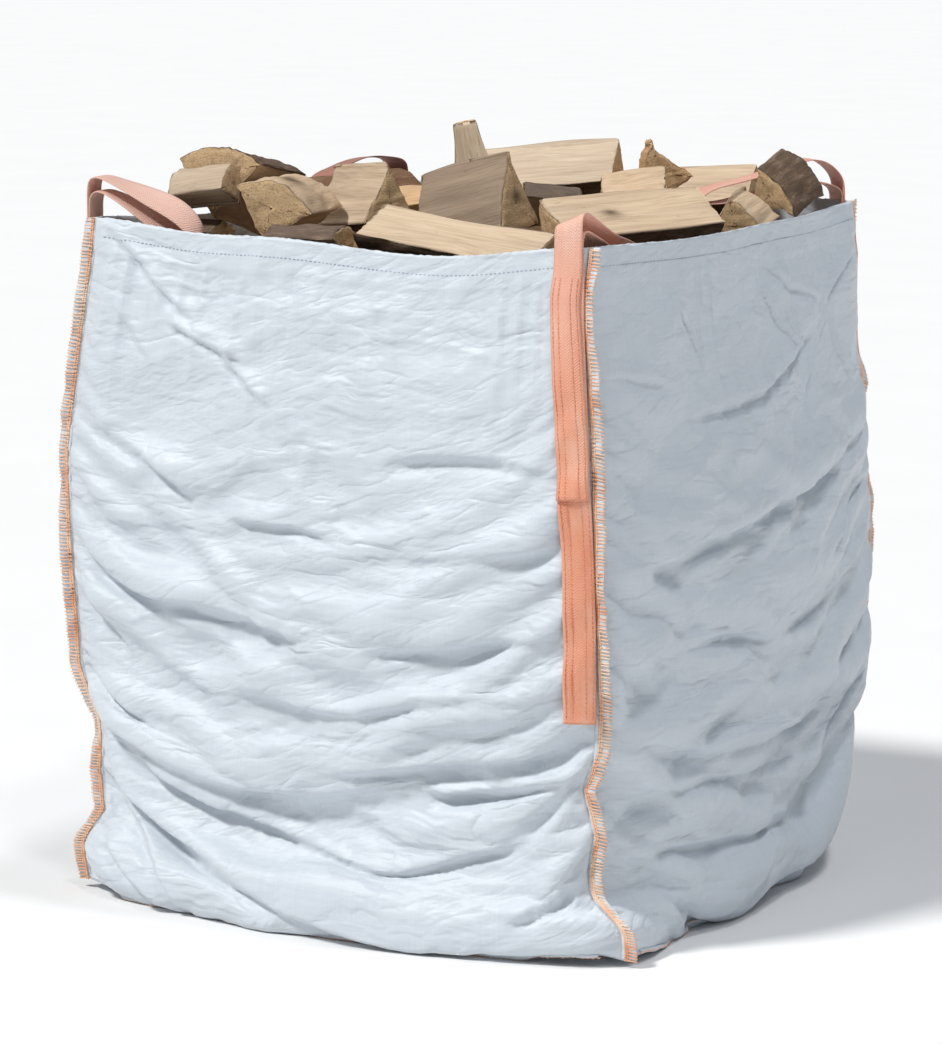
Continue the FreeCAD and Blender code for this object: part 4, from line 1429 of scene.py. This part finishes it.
def log_body(outline, radius, length, shift, seed, look, rng):
    """A log's side as rows of points round its outline, and how much of a knot is at each."""
    places, out, bark, run = outline
    z = np.linspace(-length / 2, length / 2, max(8, int(length / LOG_PITCH)))
    share = z / length
    zz, rr = np.meshgrid(z, run, indexing="ij")
    cut = -0.0018 - 0.002 * hump(np.linalg.norm(places, axis=1), 0.010)
    move = surface(zz, rr, shift, seed, look.get("rough", 1.0), bark) + cut[None, :]
    twist = math.radians(rng.uniform(-3, 3)) * share * 2
    grow = 1 + 0.03 * np.sin(share * 3 + rng.uniform(0, 6))
    bow = 0.004 * np.sin(share * 2.6 + rng.uniform(0, 6))
    pivot = np.array([0, radius / 2])
    base = places[None] * grow[:, None, None] + out[None] * move[..., None]
    narrow = 1 - look.get("taper", 0.0) * smoothstep(-0.1, 0.5, share * look.get("tip", 1)) ** 1.3
    base = (base - pivot) * narrow[:, None, None] + pivot
    chamfer = 0.0016 * np.exp(-((length / 2 - np.abs(z)) / 0.0016))
    base = base - out[None] * chamfer[:, None, None] - pivot
    cos, sin = np.cos(twist)[:, None], np.sin(twist)[:, None]
    turned_x = base[..., 0] * cos - base[..., 1] * sin
    turned_y = base[..., 0] * sin + base[..., 1] * cos
    body = np.stack([turned_x + pivot[0] + bow[:, None], turned_y + pivot[1], zz], -1)
    knots = np.zeros(zz.shape)
    for where, at, size in look.get("knots", []):
        far = np.hypot((rr - where * run[-1]), (zz - at * length) * 0.75)
        knots = stronger(knots, far, size)
        body[..., :2] += out[None] * (0.004 * hump(far, 1.6 * size))[..., None]
    return body, knots


def log_cap(edge, end, radius, shift, slant, seed, look):
    """A sawn end as rings of points inside the body's last row, which it slants, and the knots on it."""
    centre = edge.mean(0)
    shrink = np.linspace(0.985, 0.04, CAP_RINGS)
    cap = centre + (edge - centre)[None] * shrink[:, None, None]
    x, y = cap[..., 0], cap[..., 1]
    saw = 0.0006 * value_noise(x * 30 + y * 260 + shift[0], y * 0 + end, seed + 6)
    saw = saw + 0.0010 * value_noise(x * 90, y * 90, seed + 7)
    lip = 0.0012 * smoothstep(1.0, 0.90, shrink)[:, None]
    cap[..., 2] += (2 * end - 1) * (saw + lip) + slant[0] * x + slant[1] * (y - radius / 2)
    edge[:, 2] += slant[0] * edge[:, 0] + slant[1] * (edge[:, 1] - radius / 2)
    knots = np.zeros(x.shape)
    for ex, ey, size in look.get("end_knots", []):
        knots = stronger(knots, np.hypot(x - ex * radius, y - ey * radius), size)
    return cap, knots


def cap_faces(row, first, count):
    """Faces that join a sawn end's rings to the body's last row and to one another."""
    lace = np.arange(count)
    ahead = (lace + 1) % count
    hub = first + (CAP_RINGS - 1) * count
    strip = grid_quads(CAP_RINGS, count, first, wrap=True)
    seam = np.stack([row * count + lace, first + lace, first + ahead, row * count + ahead], -1)
    fan = np.array([[hub, hub + k, hub + k + 1, hub + k + 2] for k in range(1, count - 2, 2)])
    return np.concatenate([strip, seam, fan])


def log_mesh(shape, seed, look):
    """One split log: its points, its faces and the values its material reads."""
    middle, side, up, axis, radius, angle, length = shape
    rng = np.random.default_rng(seed)
    outline = section(radius, angle)
    shift = rng.uniform(0, 30, 4)
    body, knots = log_body(outline, radius, length, shift, seed, look, rng)
    rows, count = knots.shape
    slants = rng.uniform(-0.05, 0.05, (2, 2))
    parts, knotness = [body], [knots]
    faces = [grid_quads(rows, count, wrap=True)[:, ::-1]]
    for end, row in ((0, 0), (1, rows - 1)):
        cap, knots = log_cap(body[row], end, radius, shift, slants[end], seed, look)
        block = cap_faces(row, (rows + end * CAP_RINGS) * count, count)
        parts.append(cap)
        knotness.append(knots)
        faces.append(block if end == 1 else block[:, ::-1])
    local = np.concatenate(parts).reshape(-1, 3)
    world = middle + local[:, :1] * side + local[:, 1:2] * up + local[:, 2:] * axis
    total, at_ends = len(local), 2 * CAP_RINGS * count
    values = {
        "log": local,
        "cut_end": np.repeat([0.0, 1.0], [total - at_ends, at_ends]),
        "bark": np.concatenate([np.tile(outline[2], rows), np.zeros(at_ends)]) * (1 - look.get("bare", 0)),
        "knot": np.concatenate(knotness).ravel(),
        "tone": np.full(total, look.get("tone", rng.uniform(0.0, 0.35))),
        "warm": np.full(total, look.get("warm", rng.uniform(0.2, 0.7))),
        "shift": np.tile(rng.uniform(-40, 40, 3), (total, 1)),
    }
    return world, np.concatenate(faces), values


# What is special about some of the logs on top: tone 0 fresh to 1 grey, warm 0 pale to 1 orange, bare 1 where
# the bark has come off, rough above 1 where the wood is torn, taper the share by which it narrows at its tip,
# tip -1 where that is its other end, knots on the flats as (place round the outline, place along, size), and
# end_knots as (across, up, size).
LOG_LOOKS = {
    "01": {"tone": 0.28, "warm": 0.35, "bare": 0.1, "end_knots": [(0.25, 0.5, 0.010)]},
    "02": {"tone": 0.30, "warm": 0.15, "bare": 0.85},
    "03": {"tone": 0.12, "warm": 0.35, "bare": 0.9, "rough": 1.3, "knots": [(0.5, 0.1, 0.022)]},
    "04": {"tone": 0.35, "warm": 0.3},
    "05": {"tone": 0.1, "warm": 0.8},
    "06": {"tone": 0.1, "warm": 0.2},
    "07": {"tone": 0.4, "warm": 0.3},
    "08": {"tone": 0.06, "warm": 0.2},
    "09": {"tone": 0.62, "warm": 0.45, "end_knots": [(0.0, 0.6, 0.010)]},
    "10": {"tone": 0.0, "warm": 0.12, "rough": 1.2, "taper": 0.5, "tip": -1},
    "11": {"tone": 0.0, "warm": 0.7, "bare": 0.9},
    "12": {"tone": 0.12, "warm": 0.05},
    "13": {"tone": 0.45, "warm": 0.2, "rough": 1.3},
    "14": {"tone": 0.1, "warm": 0.35, "rough": 1.4},
    "15": {"tone": 0.05, "warm": 0.85, "rough": 1.6},
    "16": {"tone": 0.06, "warm": 0.25, "knots": [(0.85, 0.15, 0.012)]},
    "17": {"tone": 0.1, "warm": 0.3},
    "18": {"tone": 0.08, "warm": 0.2},
    "19": {"tone": 0.15, "warm": 0.2, "rough": 2.2},
}


def build_log(name, node, seed, look):
    """The split logs of a CAD node as one piece."""
    shapes, values = [], {}
    for k, shape in enumerate(log_frames(node)):
        points, faces, own = log_mesh(shape, seed + 31 * k, look)
        shapes.append((points, faces))
        for key, value in own.items():
            values.setdefault(key, []).append(value)
    values = {key: np.concatenate(value) for key, value in values.items()}
    return on_bag(name, joined(shapes), WOOD_LOOK, "split_wood", node, **values)


# How far in the bottom logs are drawn, and between which heights they lie.
TUCK_SHARE, TUCK_FLOOR, TUCK_TOP = 0.90, 0.044, 0.160


def tuck_in(piece):
    """Draws the bottom layer of logs in, away from the tucked-in foot of the bag."""
    points = mesh_points(piece.data)
    points[:, :2] *= TUCK_SHARE
    low, high = points[:, 2].min(), points[:, 2].max()
    points[:, 2] = TUCK_FLOOR + (points[:, 2] - low) * (TUCK_TOP - TUCK_FLOOR) / (high - low)
    piece.data.vertices.foreach_set("co", points.ravel())
    piece.data.update()


def firewood():
    for name in sorted(n for n in frame["nodes"] if n.startswith("firewood_log_")):
        number = name.rsplit("_", 1)[1]
        build_log("wood_" + number, name, 200 + 10 * int(number), LOG_LOOKS.get(number, {}))
    build_log("wood_layer_6", "firewood_layer_6", 600, {})
    tuck_in(build_log("wood_layer_1", "firewood_layer_1", 100, {}))
    for number in range(2, 6):
        materials = frame["nodes"][f"firewood_layer_{number}"].data.materials
        materials.clear()
        materials.append(BURIED_LOOK)


firewood()
